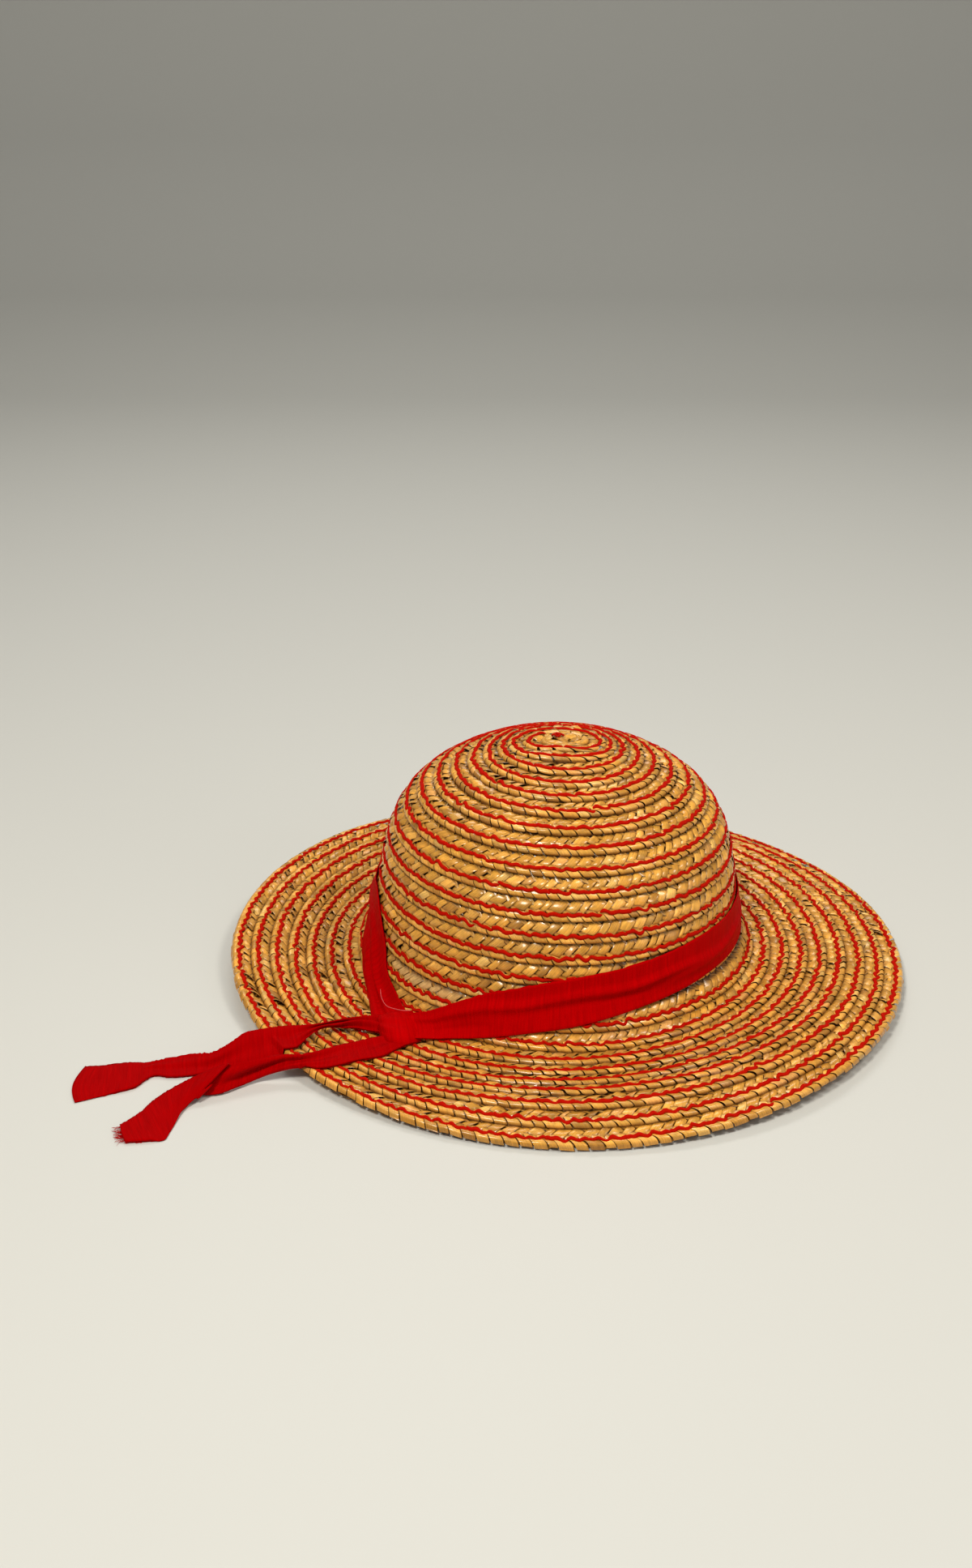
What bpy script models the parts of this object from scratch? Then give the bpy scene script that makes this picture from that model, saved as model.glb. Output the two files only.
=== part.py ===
"""A sun hat of sewn straw plait, with a ribbon tied round the foot of its crown.

The plait winds in a spiral from the middle of the crown to the edge of the brim, and each turn laps
over the turn outside it. Lengths are metres and angles are degrees. +Z is up, -Y is the side that
faces the viewer, and the hat rests on the plane z = 0. The origin is the middle of the footprint.
"""

import math

import bmesh
import bpy
import numpy as np

# Brim
BRIM_RADIUS = 0.185
BRIM_LIFT = 0.010
BRIM_PITCH = 0.0102
FLARE_LENGTH = 0.0045

# Crown
CROWN_FOOT_RADIUS = 0.1018
CROWN_FOOT_HEIGHT = 0.027
CROWN_RISE = 0.1012
CROWN_TAPER = 0.13
CROWN_SIDE_POWER = 4.9
CROWN_TOP_POWER = 1.7
CROWN_OFFSET_X = -0.0065
CROWN_OFFSET_Y = -0.0018
CROWN_PITCH = 0.0112
BUTTON_RADIUS = 0.005

# Straw plait
WALL = 0.002
LAP_STEP = 0.001
LAP_RUN = 0.0012
FOOT_FADE = 0.004
COLUMNS = 44
SEAM_AZIMUTH = 125.0
JOG_START = 0.825

# Ribbon
RIBBON_WIDTH = 0.025
RIBBON_THICKNESS = 0.0009
KNOT_LENGTH = 0.022
KNOT_WIDTH = 0.017
KNOT_HEIGHT = 0.0085
KNOT_TAPER = 0.25
BAND_SECTIONS = 56
TAIL_SECTIONS = 26
TAIL_POINTS_ACROSS = 4

# Gaps between neighbours, and how the meshes are drawn
PART_GAP = 0.0004
SEAT_GAP = 0.0003
WELD = 0.00002
NORMAL_REACH = 0.0008
FOOT_CROWDING = 1.6
CUTTER_WIDTH = 3 * BRIM_RADIUS

# How far the ribbon's tails reach to the left of the brim's centre, and the brim's centre from the origin
TAIL_REACH = 0.2455
HAT_CENTRE_X = (TAIL_REACH - BRIM_RADIUS) / 2

# Height of the brim's upper face below the laps, as shares of BRIM_LIFT, at four even steps outwards
BRIM_WAVES = (
    dict(azimuth=0, inner=0.93, middle=0.95, outer=0.95, edge=0.65),
    dict(azimuth=45, inner=0.96, middle=0.96, outer=0.85, edge=0.15),
    dict(azimuth=90, inner=0.48, middle=0.49, outer=0.55, edge=0.19),
    dict(azimuth=135, inner=0.44, middle=0.48, outer=1.03, edge=1.12),
    dict(azimuth=180, inner=0.48, middle=0.47, outer=0.97, edge=1.27),
    dict(azimuth=225, inner=0.22, middle=0.15, outer=0.39, edge=0.68),
    dict(azimuth=270, inner=0.64, middle=0.83, outer=1.10, edge=0.24),
    dict(azimuth=315, inner=0.94, middle=1.11, outer=1.34, edge=0.74),
)
INNER_SHARE = 0.1
WAVE_STEP_SHARE = 0.3

# The band's two edges, as azimuths round the crown and as distances down from the crown's foot in
# shares of RIBBON_WIDTH, from the front of the knot round the right and the back to its left side
BAND_ROUTE = (
    dict(upper_azimuth=228, upper_down=0.62, lower_azimuth=233, lower_down=1.26),
    dict(upper_azimuth=236, upper_down=0.24, lower_azimuth=239, lower_down=0.94),
    dict(upper_azimuth=248, upper_down=-0.12, lower_azimuth=250, lower_down=0.70),
    dict(upper_azimuth=260, upper_down=-0.36, lower_azimuth=260, lower_down=0.50),
    dict(upper_azimuth=271, upper_down=-0.58, lower_azimuth=271, lower_down=0.33),
    dict(upper_azimuth=282, upper_down=-0.67, lower_azimuth=281, lower_down=0.19),
    dict(upper_azimuth=307, upper_down=-0.86, lower_azimuth=307, lower_down=0.05),
    dict(upper_azimuth=335, upper_down=-0.87, lower_azimuth=334, lower_down=0.08),
    dict(upper_azimuth=365, upper_down=-0.88, lower_azimuth=365, lower_down=0.08),
    dict(upper_azimuth=395, upper_down=-0.88, lower_azimuth=395, lower_down=0.08),
    dict(upper_azimuth=425, upper_down=-0.88, lower_azimuth=425, lower_down=0.08),
    dict(upper_azimuth=455, upper_down=-0.88, lower_azimuth=455, lower_down=0.08),
    dict(upper_azimuth=485, upper_down=-0.88, lower_azimuth=485, lower_down=0.08),
    dict(upper_azimuth=515, upper_down=-0.87, lower_azimuth=513, lower_down=0.06),
    dict(upper_azimuth=541, upper_down=-0.84, lower_azimuth=537, lower_down=0.05),
    dict(upper_azimuth=559, upper_down=-0.70, lower_azimuth=549, lower_down=0.18),
    dict(upper_azimuth=566, upper_down=-0.30, lower_azimuth=557, lower_down=0.55),
    dict(upper_azimuth=573, upper_down=0.12, lower_azimuth=566, lower_down=0.88),
    dict(upper_azimuth=579, upper_down=0.44, lower_azimuth=573, lower_down=1.14),
)

# The knot and the tails' middle lines: place from the brim's centre in shares of BRIM_RADIUS, height
# in shares of BRIM_LIFT, width in shares of RIBBON_WIDTH, and the way across the ribbon
KNOT_PLACE = dict(x=-0.513, y=-0.487, heading=188.0)
UPPER_TAIL = (
    dict(x=-0.5745, y=-0.482, height=0.80, width=0.44, across=92, roll=4),
    dict(x=-0.650, y=-0.482, height=0.85, width=0.40, across=85, roll=10),
    dict(x=-0.716, y=-0.500, height=0.95, width=0.46, across=92, roll=14),
    dict(x=-0.784, y=-0.556, height=1.15, width=0.86, across=100, roll=4),
    dict(x=-0.854, y=-0.605, height=1.30, width=0.90, across=104, roll=2),
    dict(x=-0.940, y=-0.640, height=1.05, width=0.80, across=104, roll=0),
    dict(x=-1.022, y=-0.655, height=0.52, width=0.68, across=98, roll=4),
    dict(x=-1.141, y=-0.662, height=0.12, width=0.52, across=98, roll=4),
    dict(x=-1.190, y=-0.681, height=0.0, width=0.92, across=102, roll=0),
    dict(x=-1.249, y=-0.700, height=0.0, width=1.06, across=97, roll=0),
    dict(x=-1.316, y=-0.714, height=0.0, width=1.16, across=93, roll=0),
)
LOWER_TAIL = (
    dict(x=-0.529, y=-0.5355, height=0.70, width=0.60, across=172, roll=0),
    dict(x=-0.600, y=-0.598, height=0.62, width=0.76, across=120, roll=0),
    dict(x=-0.700, y=-0.650, height=0.95, width=0.60, across=105, roll=2),
    dict(x=-0.773, y=-0.703, height=1.12, width=0.46, across=104, roll=4),
    dict(x=-0.849, y=-0.745, height=0.98, width=0.62, across=106, roll=0),
    dict(x=-0.924, y=-0.765, height=0.76, width=0.72, across=92, roll=0),
    dict(x=-0.978, y=-0.762, height=0.52, width=0.66, across=82, roll=3),
    dict(x=-1.030, y=-0.785, height=0.26, width=0.64, across=105, roll=3),
    dict(x=-1.062, y=-0.845, height=0.04, width=0.90, across=122, roll=0),
    dict(x=-1.082, y=-0.905, height=0.0, width=0.98, across=130, roll=0),
    dict(x=-1.108, y=-0.960, height=0.0, width=0.92, across=136, roll=0),
)


def clear_scene():
    """Remove what the file opened with."""
    for old in list(bpy.data.objects):
        bpy.data.objects.remove(old, do_unlink=True)


def make_collection(name):
    """A new collection in the scene."""
    group = bpy.data.collections.new(name)
    bpy.context.scene.collection.children.link(group)
    return group


def make_material(name, colour, roughness, sheen=0.0):
    """A Principled material of one colour."""
    made = bpy.data.materials.new(name)
    made.use_nodes = True
    shader = made.node_tree.nodes["Principled BSDF"]
    shader.inputs["Base Color"].default_value = (*colour, 1.0)
    shader.inputs["Roughness"].default_value = roughness
    shader.inputs["Metallic"].default_value = 0.0
    shader.inputs["Sheen Weight"].default_value = sheen
    return made


def smooth_between(values, place):
    """A smooth curve through evenly spaced values, read at place, a number of steps from the first."""
    last = len(values) - 1
    step = min(max(int(math.floor(place)), 0), last - 1)
    t = place - step
    before = values[step - 1] if step > 0 else 2 * values[0] - values[1]
    start, end = values[step], values[step + 1]
    after = values[step + 2] if step + 2 <= last else 2 * values[last] - values[last - 1]
    bend = 2 * before - 5 * start + 4 * end - after
    twist = 3 * start - before - 3 * end + after
    return start + 0.5 * t * (end - before + t * (bend + t * twist))


def wave_height(azimuth, share):
    """Height of the brim's upper face, before the flare, at an azimuth and a share from crown to edge."""
    count = len(BRIM_WAVES)
    turn = (azimuth % 360.0) / (360.0 / count)
    steps = []
    for column in ("inner", "middle", "outer", "edge"):
        ring = [BRIM_WAVES[(i - 1) % count][column] for i in range(count + 3)]
        steps.append(smooth_between(ring, turn + 1.0))
    place = (share - INNER_SHARE) / WAVE_STEP_SHARE
    return BRIM_LIFT * smooth_between(steps, max(place, -1.0 / 3.0))


def edge_radius(azimuth):
    """Distance from the crown's axis to the brim's edge."""
    angle = math.radians(azimuth)
    along = -CROWN_OFFSET_X * math.cos(angle) - CROWN_OFFSET_Y * math.sin(angle)
    apart = CROWN_OFFSET_X**2 + CROWN_OFFSET_Y**2
    return along + math.sqrt(along**2 - apart + BRIM_RADIUS**2)


def brim_height(azimuth, radius):
    """Height of the brim's upper face at a distance from the crown's axis, with the flare at the crown."""
    reach = edge_radius(azimuth) - CROWN_FOOT_RADIUS
    out = max(radius - CROWN_FOOT_RADIUS, 0.0)
    plate = wave_height(azimuth, out / reach)
    return plate + (CROWN_FOOT_HEIGHT - plate) * math.exp(-out / FLARE_LENGTH)


def crown_meridian(samples=160):
    """Radii and heights of the crown from its middle down to its foot, a tapered superellipse."""
    across = np.sin(np.linspace(0.0, math.pi / 2, samples))
    share = (1.0 - across**CROWN_TOP_POWER) ** (1.0 / CROWN_SIDE_POWER)
    radii = CROWN_FOOT_RADIUS * (1.0 - CROWN_TAPER * share) * across
    return radii, CROWN_FOOT_HEIGHT + CROWN_RISE * share


def brim_meridian(azimuth, samples=160):
    """Radii and heights of the brim from the crown's foot out to the edge."""
    shares = np.linspace(0.0, 1.0, samples) ** FOOT_CROWDING
    radii = CROWN_FOOT_RADIUS + (edge_radius(azimuth) - CROWN_FOOT_RADIUS) * shares
    return radii, np.array([brim_height(azimuth, radius) for radius in radii])


def along(radii, heights):
    """Distance run along a meridian at each of its samples."""
    runs = np.hypot(np.diff(radii), np.diff(heights))
    return np.concatenate([[0.0], np.cumsum(runs)])


def on_meridian(radii, heights, distance):
    """Radius and height at a distance along a meridian, and the upward normal there."""
    distances = along(radii, heights)
    low = max(distance - NORMAL_REACH, 0.0)
    high = min(distance + NORMAL_REACH, distances[-1])
    radius = np.interp(distance, distances, radii)
    height = np.interp(distance, distances, heights)
    run = np.interp(high, distances, radii) - np.interp(low, distances, radii)
    fall = np.interp(high, distances, heights) - np.interp(low, distances, heights)
    size = math.hypot(run, fall)
    return radius, height, -fall / size, run / size


def hat_point(azimuth, radius, height):
    """A point given round the crown's axis, in the object's frame."""
    angle = math.radians(azimuth)
    x = HAT_CENTRE_X + CROWN_OFFSET_X + radius * math.cos(angle)
    y = CROWN_OFFSET_Y + radius * math.sin(angle)
    return (x, y, height)


def lap_relief(past_ridge, pitch):
    """How far the plait stands proud at a distance past the ridge where the last turn ends."""
    past = past_ridge % pitch
    if past < LAP_RUN:
        return LAP_STEP * (1.0 - past / LAP_RUN)
    return LAP_STEP * (past - LAP_RUN) / (pitch - LAP_RUN)


def column_of(turn, meridian, ridges, first, last, pitch, foot):
    """Points of one column of a plaited sheet, on the ridge and the foot of each lap."""
    azimuth = SEAM_AZIMUTH + 360.0 * turn
    radii, heights = meridian
    points = []
    for ridge in ridges:
        for distance in (ridge, ridge + LAP_RUN):
            held = min(max(distance, first), last)
            radius, height, out, up = on_meridian(radii, heights, held)
            proud = lap_relief(held - ridges[0], pitch) * min(abs(held - foot) / FOOT_FADE, 1.0)
            points.append(hat_point(azimuth, radius + out * proud, height + up * proud))
    return points


def sheet_from_columns(name, columns, cap=None):
    """A sheet whose last column meets the first one turn of plait further out, as a spiral does."""
    mesh = bpy.data.meshes.new(name)
    built = bmesh.new()
    grid = [[built.verts.new(point) for point in column] for column in columns]
    lines = len(grid[0])
    for index, column in enumerate(grid):
        closing = index + 1 == len(grid)
        following = grid[0] if closing else grid[index + 1]
        shift = 2 if closing else 0
        for line in range(lines - 1 - shift):
            corners = (column[line], column[line + 1])
            others = (following[line + shift + 1], following[line + shift])
            built.faces.new(corners + others)
    if cap is not None:
        middle = built.verts.new(cap)
        ring = [column[0] for column in grid] + [grid[0][2], grid[0][1]]
        for here, there in zip(ring, ring[1:] + ring[:1]):
            built.faces.new((middle, here, there))
    bmesh.ops.remove_doubles(built, verts=built.verts, dist=WELD)
    built.normal_update()
    built.to_mesh(mesh)
    built.free()
    return mesh


def add_object(mesh, name, group, material):
    """Put a mesh in the scene as a named object of one material, shaded smooth."""
    mesh.materials.append(material)
    mesh.shade_smooth()
    made = bpy.data.objects.new(name, mesh)
    group.objects.link(made)
    return made


def add_wall(made, thickness, offset):
    """Thicken an open sheet, to its inner side at offset -1 and to its outer side at 1."""
    wall = made.modifiers.new("wall", "SOLIDIFY")
    wall.thickness = thickness
    wall.offset = offset
    wall.use_rim = True


def build_crown(group, material):
    """The crown: a spiral of plait from the button at its middle down to its foot."""
    meridian = crown_meridian()
    last = along(*meridian)[-1] - PART_GAP / 2
    turns = int(math.ceil(last / CROWN_PITCH)) + 1
    columns = []
    for index in range(COLUMNS):
        turn = index / COLUMNS
        ridges = [BUTTON_RADIUS + (row + turn) * CROWN_PITCH for row in range(turns)]
        columns.append(column_of(turn, meridian, ridges, 0.0, last, CROWN_PITCH, last))
    top = hat_point(0.0, 0.0, CROWN_FOOT_HEIGHT + CROWN_RISE + LAP_STEP / 2)
    crown = add_object(sheet_from_columns("crown", columns, top), "crown", group, material)
    add_wall(crown, WALL, -1.0)
    return crown


def jog(turn):
    """Share of a row by which the brim's plait has stepped outwards at a share of one turn."""
    share = min(max((turn - JOG_START) / (1.0 - JOG_START), 0.0), 1.0)
    return share * share * (3.0 - 2.0 * share)


def build_brim(group, material):
    """The brim: rows of plait in step with its edge, stepping out one row behind the crown."""
    columns = []
    longest = max(along(*brim_meridian(azimuth))[-1] for azimuth in range(0, 360, 15))
    rows = int(math.ceil(longest / BRIM_PITCH))
    for index in range(COLUMNS):
        turn = index / COLUMNS
        meridian = brim_meridian(SEAM_AZIMUTH + 360.0 * turn)
        last = along(*meridian)[-1]
        ridges = [last - (rows - row - jog(turn)) * BRIM_PITCH for row in range(rows + 1)]
        columns.append(column_of(turn, meridian, ridges, PART_GAP / 2, last, BRIM_PITCH, 0.0))
    brim = add_object(sheet_from_columns("brim", columns), "brim", group, material)
    add_wall(brim, WALL, -1.0)
    return brim


def cut_level(brim, group):
    """Flatten the brim where it presses on the surface that it rests on."""
    bpy.ops.mesh.primitive_cube_add(size=1.0)
    ground = bpy.context.active_object
    ground.name = "ground_cutter"
    for holder in list(ground.users_collection):
        holder.objects.unlink(ground)
    group.objects.link(ground)
    ground.scale = (CUTTER_WIDTH, CUTTER_WIDTH, CROWN_FOOT_HEIGHT)
    ground.location = (HAT_CENTRE_X, 0.0, -CROWN_FOOT_HEIGHT / 2)
    ground.hide_render = True
    ground.display_type = "WIRE"
    cut = brim.modifiers.new("rest", "BOOLEAN")
    cut.operation = "DIFFERENCE"
    cut.object = ground


def spread(rows, column, count):
    """A column of a table of rows, read as a smooth curve at an even count of places."""
    values = [row[column] for row in rows]
    return [smooth_between(values, (len(rows) - 1) * i / (count - 1)) for i in range(count)]


def strip_mesh(name, sections):
    """An open strip through sections, each a list of points across it."""
    mesh = bpy.data.meshes.new(name)
    built = bmesh.new()
    grid = [[built.verts.new(point) for point in section] for section in sections]
    for here, there in zip(grid, grid[1:]):
        for side in range(len(here) - 1):
            built.faces.new((here[side], here[side + 1], there[side + 1], there[side]))
    built.normal_update()
    built.to_mesh(mesh)
    built.free()
    return mesh


def hat_face(azimuth, down, stand_off):
    """A point off the hat's upper face, at a distance down from the crown's foot along the meridian."""
    if down < 0:
        radii, heights = crown_meridian()
        distance = along(radii, heights)[-1] + down
    else:
        radii, heights = brim_meridian(azimuth)
        distance = down
    radius, height, out, up = on_meridian(radii, heights, distance)
    return radius + out * stand_off, height + up * stand_off


def build_band(group, material):
    """The ribbon round the crown's foot, which runs down over the brim to the knot."""
    stand_off = LAP_STEP + SEAT_GAP
    edges = {column: spread(BAND_ROUTE, column, BAND_SECTIONS) for column in BAND_ROUTE[0]}
    sections = []
    for index in range(BAND_SECTIONS):
        upper_azimuth, lower_azimuth = edges["upper_azimuth"][index], edges["lower_azimuth"][index]
        upper = hat_face(upper_azimuth, edges["upper_down"][index] * RIBBON_WIDTH, stand_off)
        lower = hat_face(lower_azimuth, edges["lower_down"][index] * RIBBON_WIDTH, stand_off)
        section = []
        for share in (0.0, 0.5, 1.0):
            azimuth = upper_azimuth + share * (lower_azimuth - upper_azimuth)
            radius = upper[0] + share * (lower[0] - upper[0])
            height = upper[1] + share * (lower[1] - upper[1])
            section.append(hat_point(azimuth, radius, height))
        sections.append(section)
    band = add_object(strip_mesh("ribbon_band", sections), "ribbon_band", group, material)
    add_wall(band, RIBBON_THICKNESS, 1.0)
    return band


def resting_height(x, y):
    """Height of what lies below a point given from the brim's centre: the brim's face or the surface."""
    if math.hypot(x, y) > BRIM_RADIUS:
        return 0.0
    x, y = x - CROWN_OFFSET_X, y - CROWN_OFFSET_Y
    azimuth = math.degrees(math.atan2(y, x))
    return brim_height(azimuth, math.hypot(x, y)) + LAP_STEP + SEAT_GAP


def build_tail(name, route, group, material):
    """One loose end of the ribbon, from the knot over the brim and down onto the surface."""
    route_of = {column: spread(route, column, TAIL_SECTIONS) for column in route[0]}
    sections = []
    for index in range(TAIL_SECTIONS):
        x, y = route_of["x"][index] * BRIM_RADIUS, route_of["y"][index] * BRIM_RADIUS
        middle = max(route_of["height"][index], 0.0) * BRIM_LIFT
        half = route_of["width"][index] * RIBBON_WIDTH / 2
        across = math.radians(route_of["across"][index])
        rise = math.tan(math.radians(route_of["roll"][index]))
        section = []
        for side in np.linspace(-1.0, 1.0, TAIL_POINTS_ACROSS):
            off = side * half
            point_x, point_y = x + off * math.cos(across), y + off * math.sin(across)
            height = max(middle + off * rise, resting_height(point_x, point_y))
            section.append((point_x + HAT_CENTRE_X, point_y, height))
        sections.append(section)
    tail = add_object(strip_mesh(name, sections), name, group, material)
    add_wall(tail, RIBBON_THICKNESS, 1.0)
    return tail


def build_knot(group, material):
    """The half knot that ties the ribbon, a soft lump lying on the brim."""
    x, y = KNOT_PLACE["x"] * BRIM_RADIUS, KNOT_PLACE["y"] * BRIM_RADIUS
    heading = math.radians(KNOT_PLACE["heading"])
    mesh = bpy.data.meshes.new("ribbon_knot")
    built = bmesh.new()
    bmesh.ops.create_cube(built, size=1.0)
    bmesh.ops.subdivide_edges(built, edges=built.edges, cuts=2, use_grid_fill=True)
    for vert in built.verts:
        along_it, across_it, height = vert.co
        waist = 1.0 - KNOT_TAPER * (2 * along_it) ** 2
        run, side = along_it * KNOT_LENGTH, across_it * KNOT_WIDTH * waist
        off_x = run * math.cos(heading) - side * math.sin(heading)
        off_y = run * math.sin(heading) + side * math.cos(heading)
        seat = resting_height(x + off_x, y + off_y)
        vert.co = (HAT_CENTRE_X + x + off_x, y + off_y, seat + KNOT_HEIGHT * (0.5 + height * waist))
    built.to_mesh(mesh)
    built.free()
    knot = add_object(mesh, "ribbon_knot", group, material)
    rounding = knot.modifiers.new("rounding", "SUBSURF")
    rounding.levels = 1
    rounding.render_levels = 1
    return knot


def main():
    clear_scene()
    hat = make_collection("sun_hat")
    cutters = make_collection("cutters")
    straw = make_material("straw", (0.62, 0.40, 0.13), 0.42)
    ribbon = make_material("ribbon", (0.62, 0.008, 0.012), 0.75, sheen=0.3)
    build_crown(hat, straw)
    brim = build_brim(hat, straw)
    cut_level(brim, cutters)
    build_band(hat, ribbon)
    build_knot(hat, ribbon)
    build_tail("ribbon_tail_upper", UPPER_TAIL, hat, ribbon)
    build_tail("ribbon_tail_lower", LOWER_TAIL, hat, ribbon)


main()
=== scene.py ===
"""The looks of a straw sun hat: its plait woven straw by straw, sewn with red thread and tied with a ribbon.

Lengths are metres and angles are degrees. The hat's shape repeats the part's own sizes. A place on the
plait is given by its turn round the crown, its distance in from the row's outer edge and its height
above the hat's plain face, and one function lays it on the hat.
"""

import math

import bpy
import numpy as np
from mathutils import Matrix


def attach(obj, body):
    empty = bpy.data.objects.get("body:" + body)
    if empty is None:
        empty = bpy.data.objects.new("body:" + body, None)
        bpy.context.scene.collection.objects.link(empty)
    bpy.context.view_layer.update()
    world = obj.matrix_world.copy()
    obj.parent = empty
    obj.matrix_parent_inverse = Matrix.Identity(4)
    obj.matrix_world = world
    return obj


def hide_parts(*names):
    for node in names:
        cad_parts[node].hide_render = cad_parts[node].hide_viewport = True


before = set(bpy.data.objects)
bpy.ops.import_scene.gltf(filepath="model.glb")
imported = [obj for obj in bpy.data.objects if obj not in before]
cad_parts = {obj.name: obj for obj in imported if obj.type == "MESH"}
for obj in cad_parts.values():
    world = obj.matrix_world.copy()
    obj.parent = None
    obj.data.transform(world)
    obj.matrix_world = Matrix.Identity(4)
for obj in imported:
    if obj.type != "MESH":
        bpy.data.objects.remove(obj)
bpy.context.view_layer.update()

# The hat's shape, as in the part
BRIM_RADIUS = 0.185
BRIM_LIFT = 0.010
BRIM_PITCH = 0.0102
FLARE_LENGTH = 0.0045
CROWN_FOOT_RADIUS = 0.1018
CROWN_FOOT_HEIGHT = 0.027
CROWN_RISE = 0.1012
CROWN_TAPER = 0.13
CROWN_SIDE_POWER = 4.9
CROWN_TOP_POWER = 1.7
CROWN_OFFSET_X = -0.0065
CROWN_OFFSET_Y = -0.0018
SEAM_AZIMUTH = 125.0
JOG_START = 0.825
RIBBON_WIDTH = 0.025
TAIL_REACH = 0.2455
HAT_CENTRE_X = (TAIL_REACH - BRIM_RADIUS) / 2
BRIM_WAVES = (
    dict(azimuth=0, inner=0.93, middle=0.95, outer=0.95, edge=0.65),
    dict(azimuth=45, inner=0.96, middle=0.96, outer=0.85, edge=0.15),
    dict(azimuth=90, inner=0.48, middle=0.49, outer=0.55, edge=0.19),
    dict(azimuth=135, inner=0.44, middle=0.48, outer=1.03, edge=1.12),
    dict(azimuth=180, inner=0.48, middle=0.47, outer=0.97, edge=1.27),
    dict(azimuth=225, inner=0.22, middle=0.15, outer=0.39, edge=0.68),
    dict(azimuth=270, inner=0.64, middle=0.83, outer=1.10, edge=0.24),
    dict(azimuth=315, inner=0.94, middle=1.11, outer=1.34, edge=0.74),
)
INNER_SHARE = 0.1
WAVE_STEP_SHARE = 0.3

# The plait: one straw cell every CELL_LENGTH along a row, the thread THREAD_IN from the row's outer edge
CELL_LENGTH = 0.00635
THREAD_IN = 0.0040
TOP_PITCH = 0.0082
SIDE_PITCH = 0.0115
PITCH_CHANGE_TURN = 4.6
FIRST_THREAD = 0.0120
FIRST_TURN = -1.15
CROWN_OVERRUN = 0.0065
LEAST_SHOWN = 0.003
CROWN_SET_IN = 0.0024
CROWN_SWAY = 0.0013
TABLE_CLEARANCE = 0.0003
RIB_SPACING = 0.0008

random = np.random.default_rng(11)


def catmull(before, start, end, after, t):
    """The smooth curve between start and end."""
    bend = 2 * before - 5 * start + 4 * end - after
    twist = 3 * start - before - 3 * end + after
    return start + 0.5 * t * (end - before + t * (bend + t * twist))


def wave_height(azimuth, share):
    """Height of the brim's upper face, before the flare, at azimuths and shares from crown to edge."""
    waves = np.array([[row[c] for c in ("inner", "middle", "outer", "edge")] for row in BRIM_WAVES])
    count = len(waves)
    turn = (azimuth % 360.0) / (360.0 / count)
    step = np.floor(turn).astype(int)
    near = [waves[(step + shift) % count] for shift in (-1, 0, 1, 2)]
    ring = catmull(*near, (turn - step)[..., None])
    ends = [2 * ring[..., :1] - ring[..., 1:2], ring, 2 * ring[..., 3:] - ring[..., 2:3]]
    ring = np.concatenate(ends, axis=-1)
    out = np.maximum((share - INNER_SHARE) / WAVE_STEP_SHARE, -1 / 3)
    step = np.clip(np.floor(out), 0, 2).astype(int)
    near = [np.take_along_axis(ring, (step + shift)[..., None], -1)[..., 0] for shift in range(4)]
    return BRIM_LIFT * catmull(*near, out - step)


def edge_radius(azimuth):
    """Distance from the crown's axis to the brim's edge."""
    angle = np.radians(azimuth)
    along = -CROWN_OFFSET_X * np.cos(angle) - CROWN_OFFSET_Y * np.sin(angle)
    apart = CROWN_OFFSET_X**2 + CROWN_OFFSET_Y**2
    return along + np.sqrt(along**2 - apart + BRIM_RADIUS**2)


def crown_meridian(samples=600):
    """Radii and heights of the crown from its middle down to its foot."""
    across = np.sin(np.linspace(0.0, math.pi / 2, samples))
    share = (1.0 - across**CROWN_TOP_POWER) ** (1.0 / CROWN_SIDE_POWER)
    radii = CROWN_FOOT_RADIUS * (1.0 - CROWN_TAPER * share) * across
    return radii, CROWN_FOOT_HEIGHT + CROWN_RISE * share


def brim_meridian(azimuth, samples=300):
    """Radii and heights of the brim from the crown's foot out to the edge."""
    shares = np.linspace(0.0, 1.0, samples) ** 1.6
    reach = edge_radius(azimuth) - CROWN_FOOT_RADIUS
    out = reach * shares
    plate = wave_height(np.full(samples, azimuth), shares)
    heights = plate + (CROWN_FOOT_HEIGHT - plate) * np.exp(-out / FLARE_LENGTH)
    return CROWN_FOOT_RADIUS + out, heights


def runs(radii, heights):
    """Distance run along a meridian at each of its samples."""
    return np.concatenate([[0.0], np.cumsum(np.hypot(np.diff(radii), np.diff(heights)))])


# The plain face of the hat, read once into a grid of azimuths and distances from the crown's middle
GRID_AZIMUTHS = 361
GRID_STEP = 0.0004
crown_radii, crown_heights = crown_meridian()
CROWN_RUN = runs(crown_radii, crown_heights)[-1]
grid_azimuths = np.linspace(0.0, 360.0, GRID_AZIMUTHS)
brim_runs = np.array([runs(*brim_meridian(azimuth))[-1] for azimuth in grid_azimuths])
grid_stations = np.arange(0.0, CROWN_RUN + brim_runs.max() + 0.012, GRID_STEP)


def whole_meridian(azimuth):
    """Radii and heights at the grid's distances, run on past the edge along its last slope."""
    radii, heights = brim_meridian(azimuth)
    radii = np.concatenate([crown_radii, radii[1:]])
    heights = np.concatenate([crown_heights, heights[1:]])
    slope = np.array([radii[-1] - radii[-6], heights[-1] - heights[-6]])
    slope /= np.hypot(*slope)
    radii = np.append(radii, radii[-1] + 0.02 * slope[0])
    heights = np.append(heights, heights[-1] + 0.02 * slope[1])
    distances = runs(radii, heights)
    return np.interp(grid_stations, distances, radii), np.interp(grid_stations, distances, heights)


grid = np.array([whole_meridian(azimuth) for azimuth in grid_azimuths])
slope = np.gradient(grid, GRID_STEP, axis=2)
slope /= np.maximum(np.hypot(slope[:, :1], slope[:, 1:]), 1e-9)
# Radius, height, and the two parts of the normal
grid = np.stack([grid[:, 0], grid[:, 1], -slope[:, 1], slope[:, 0]], axis=-1)


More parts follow.
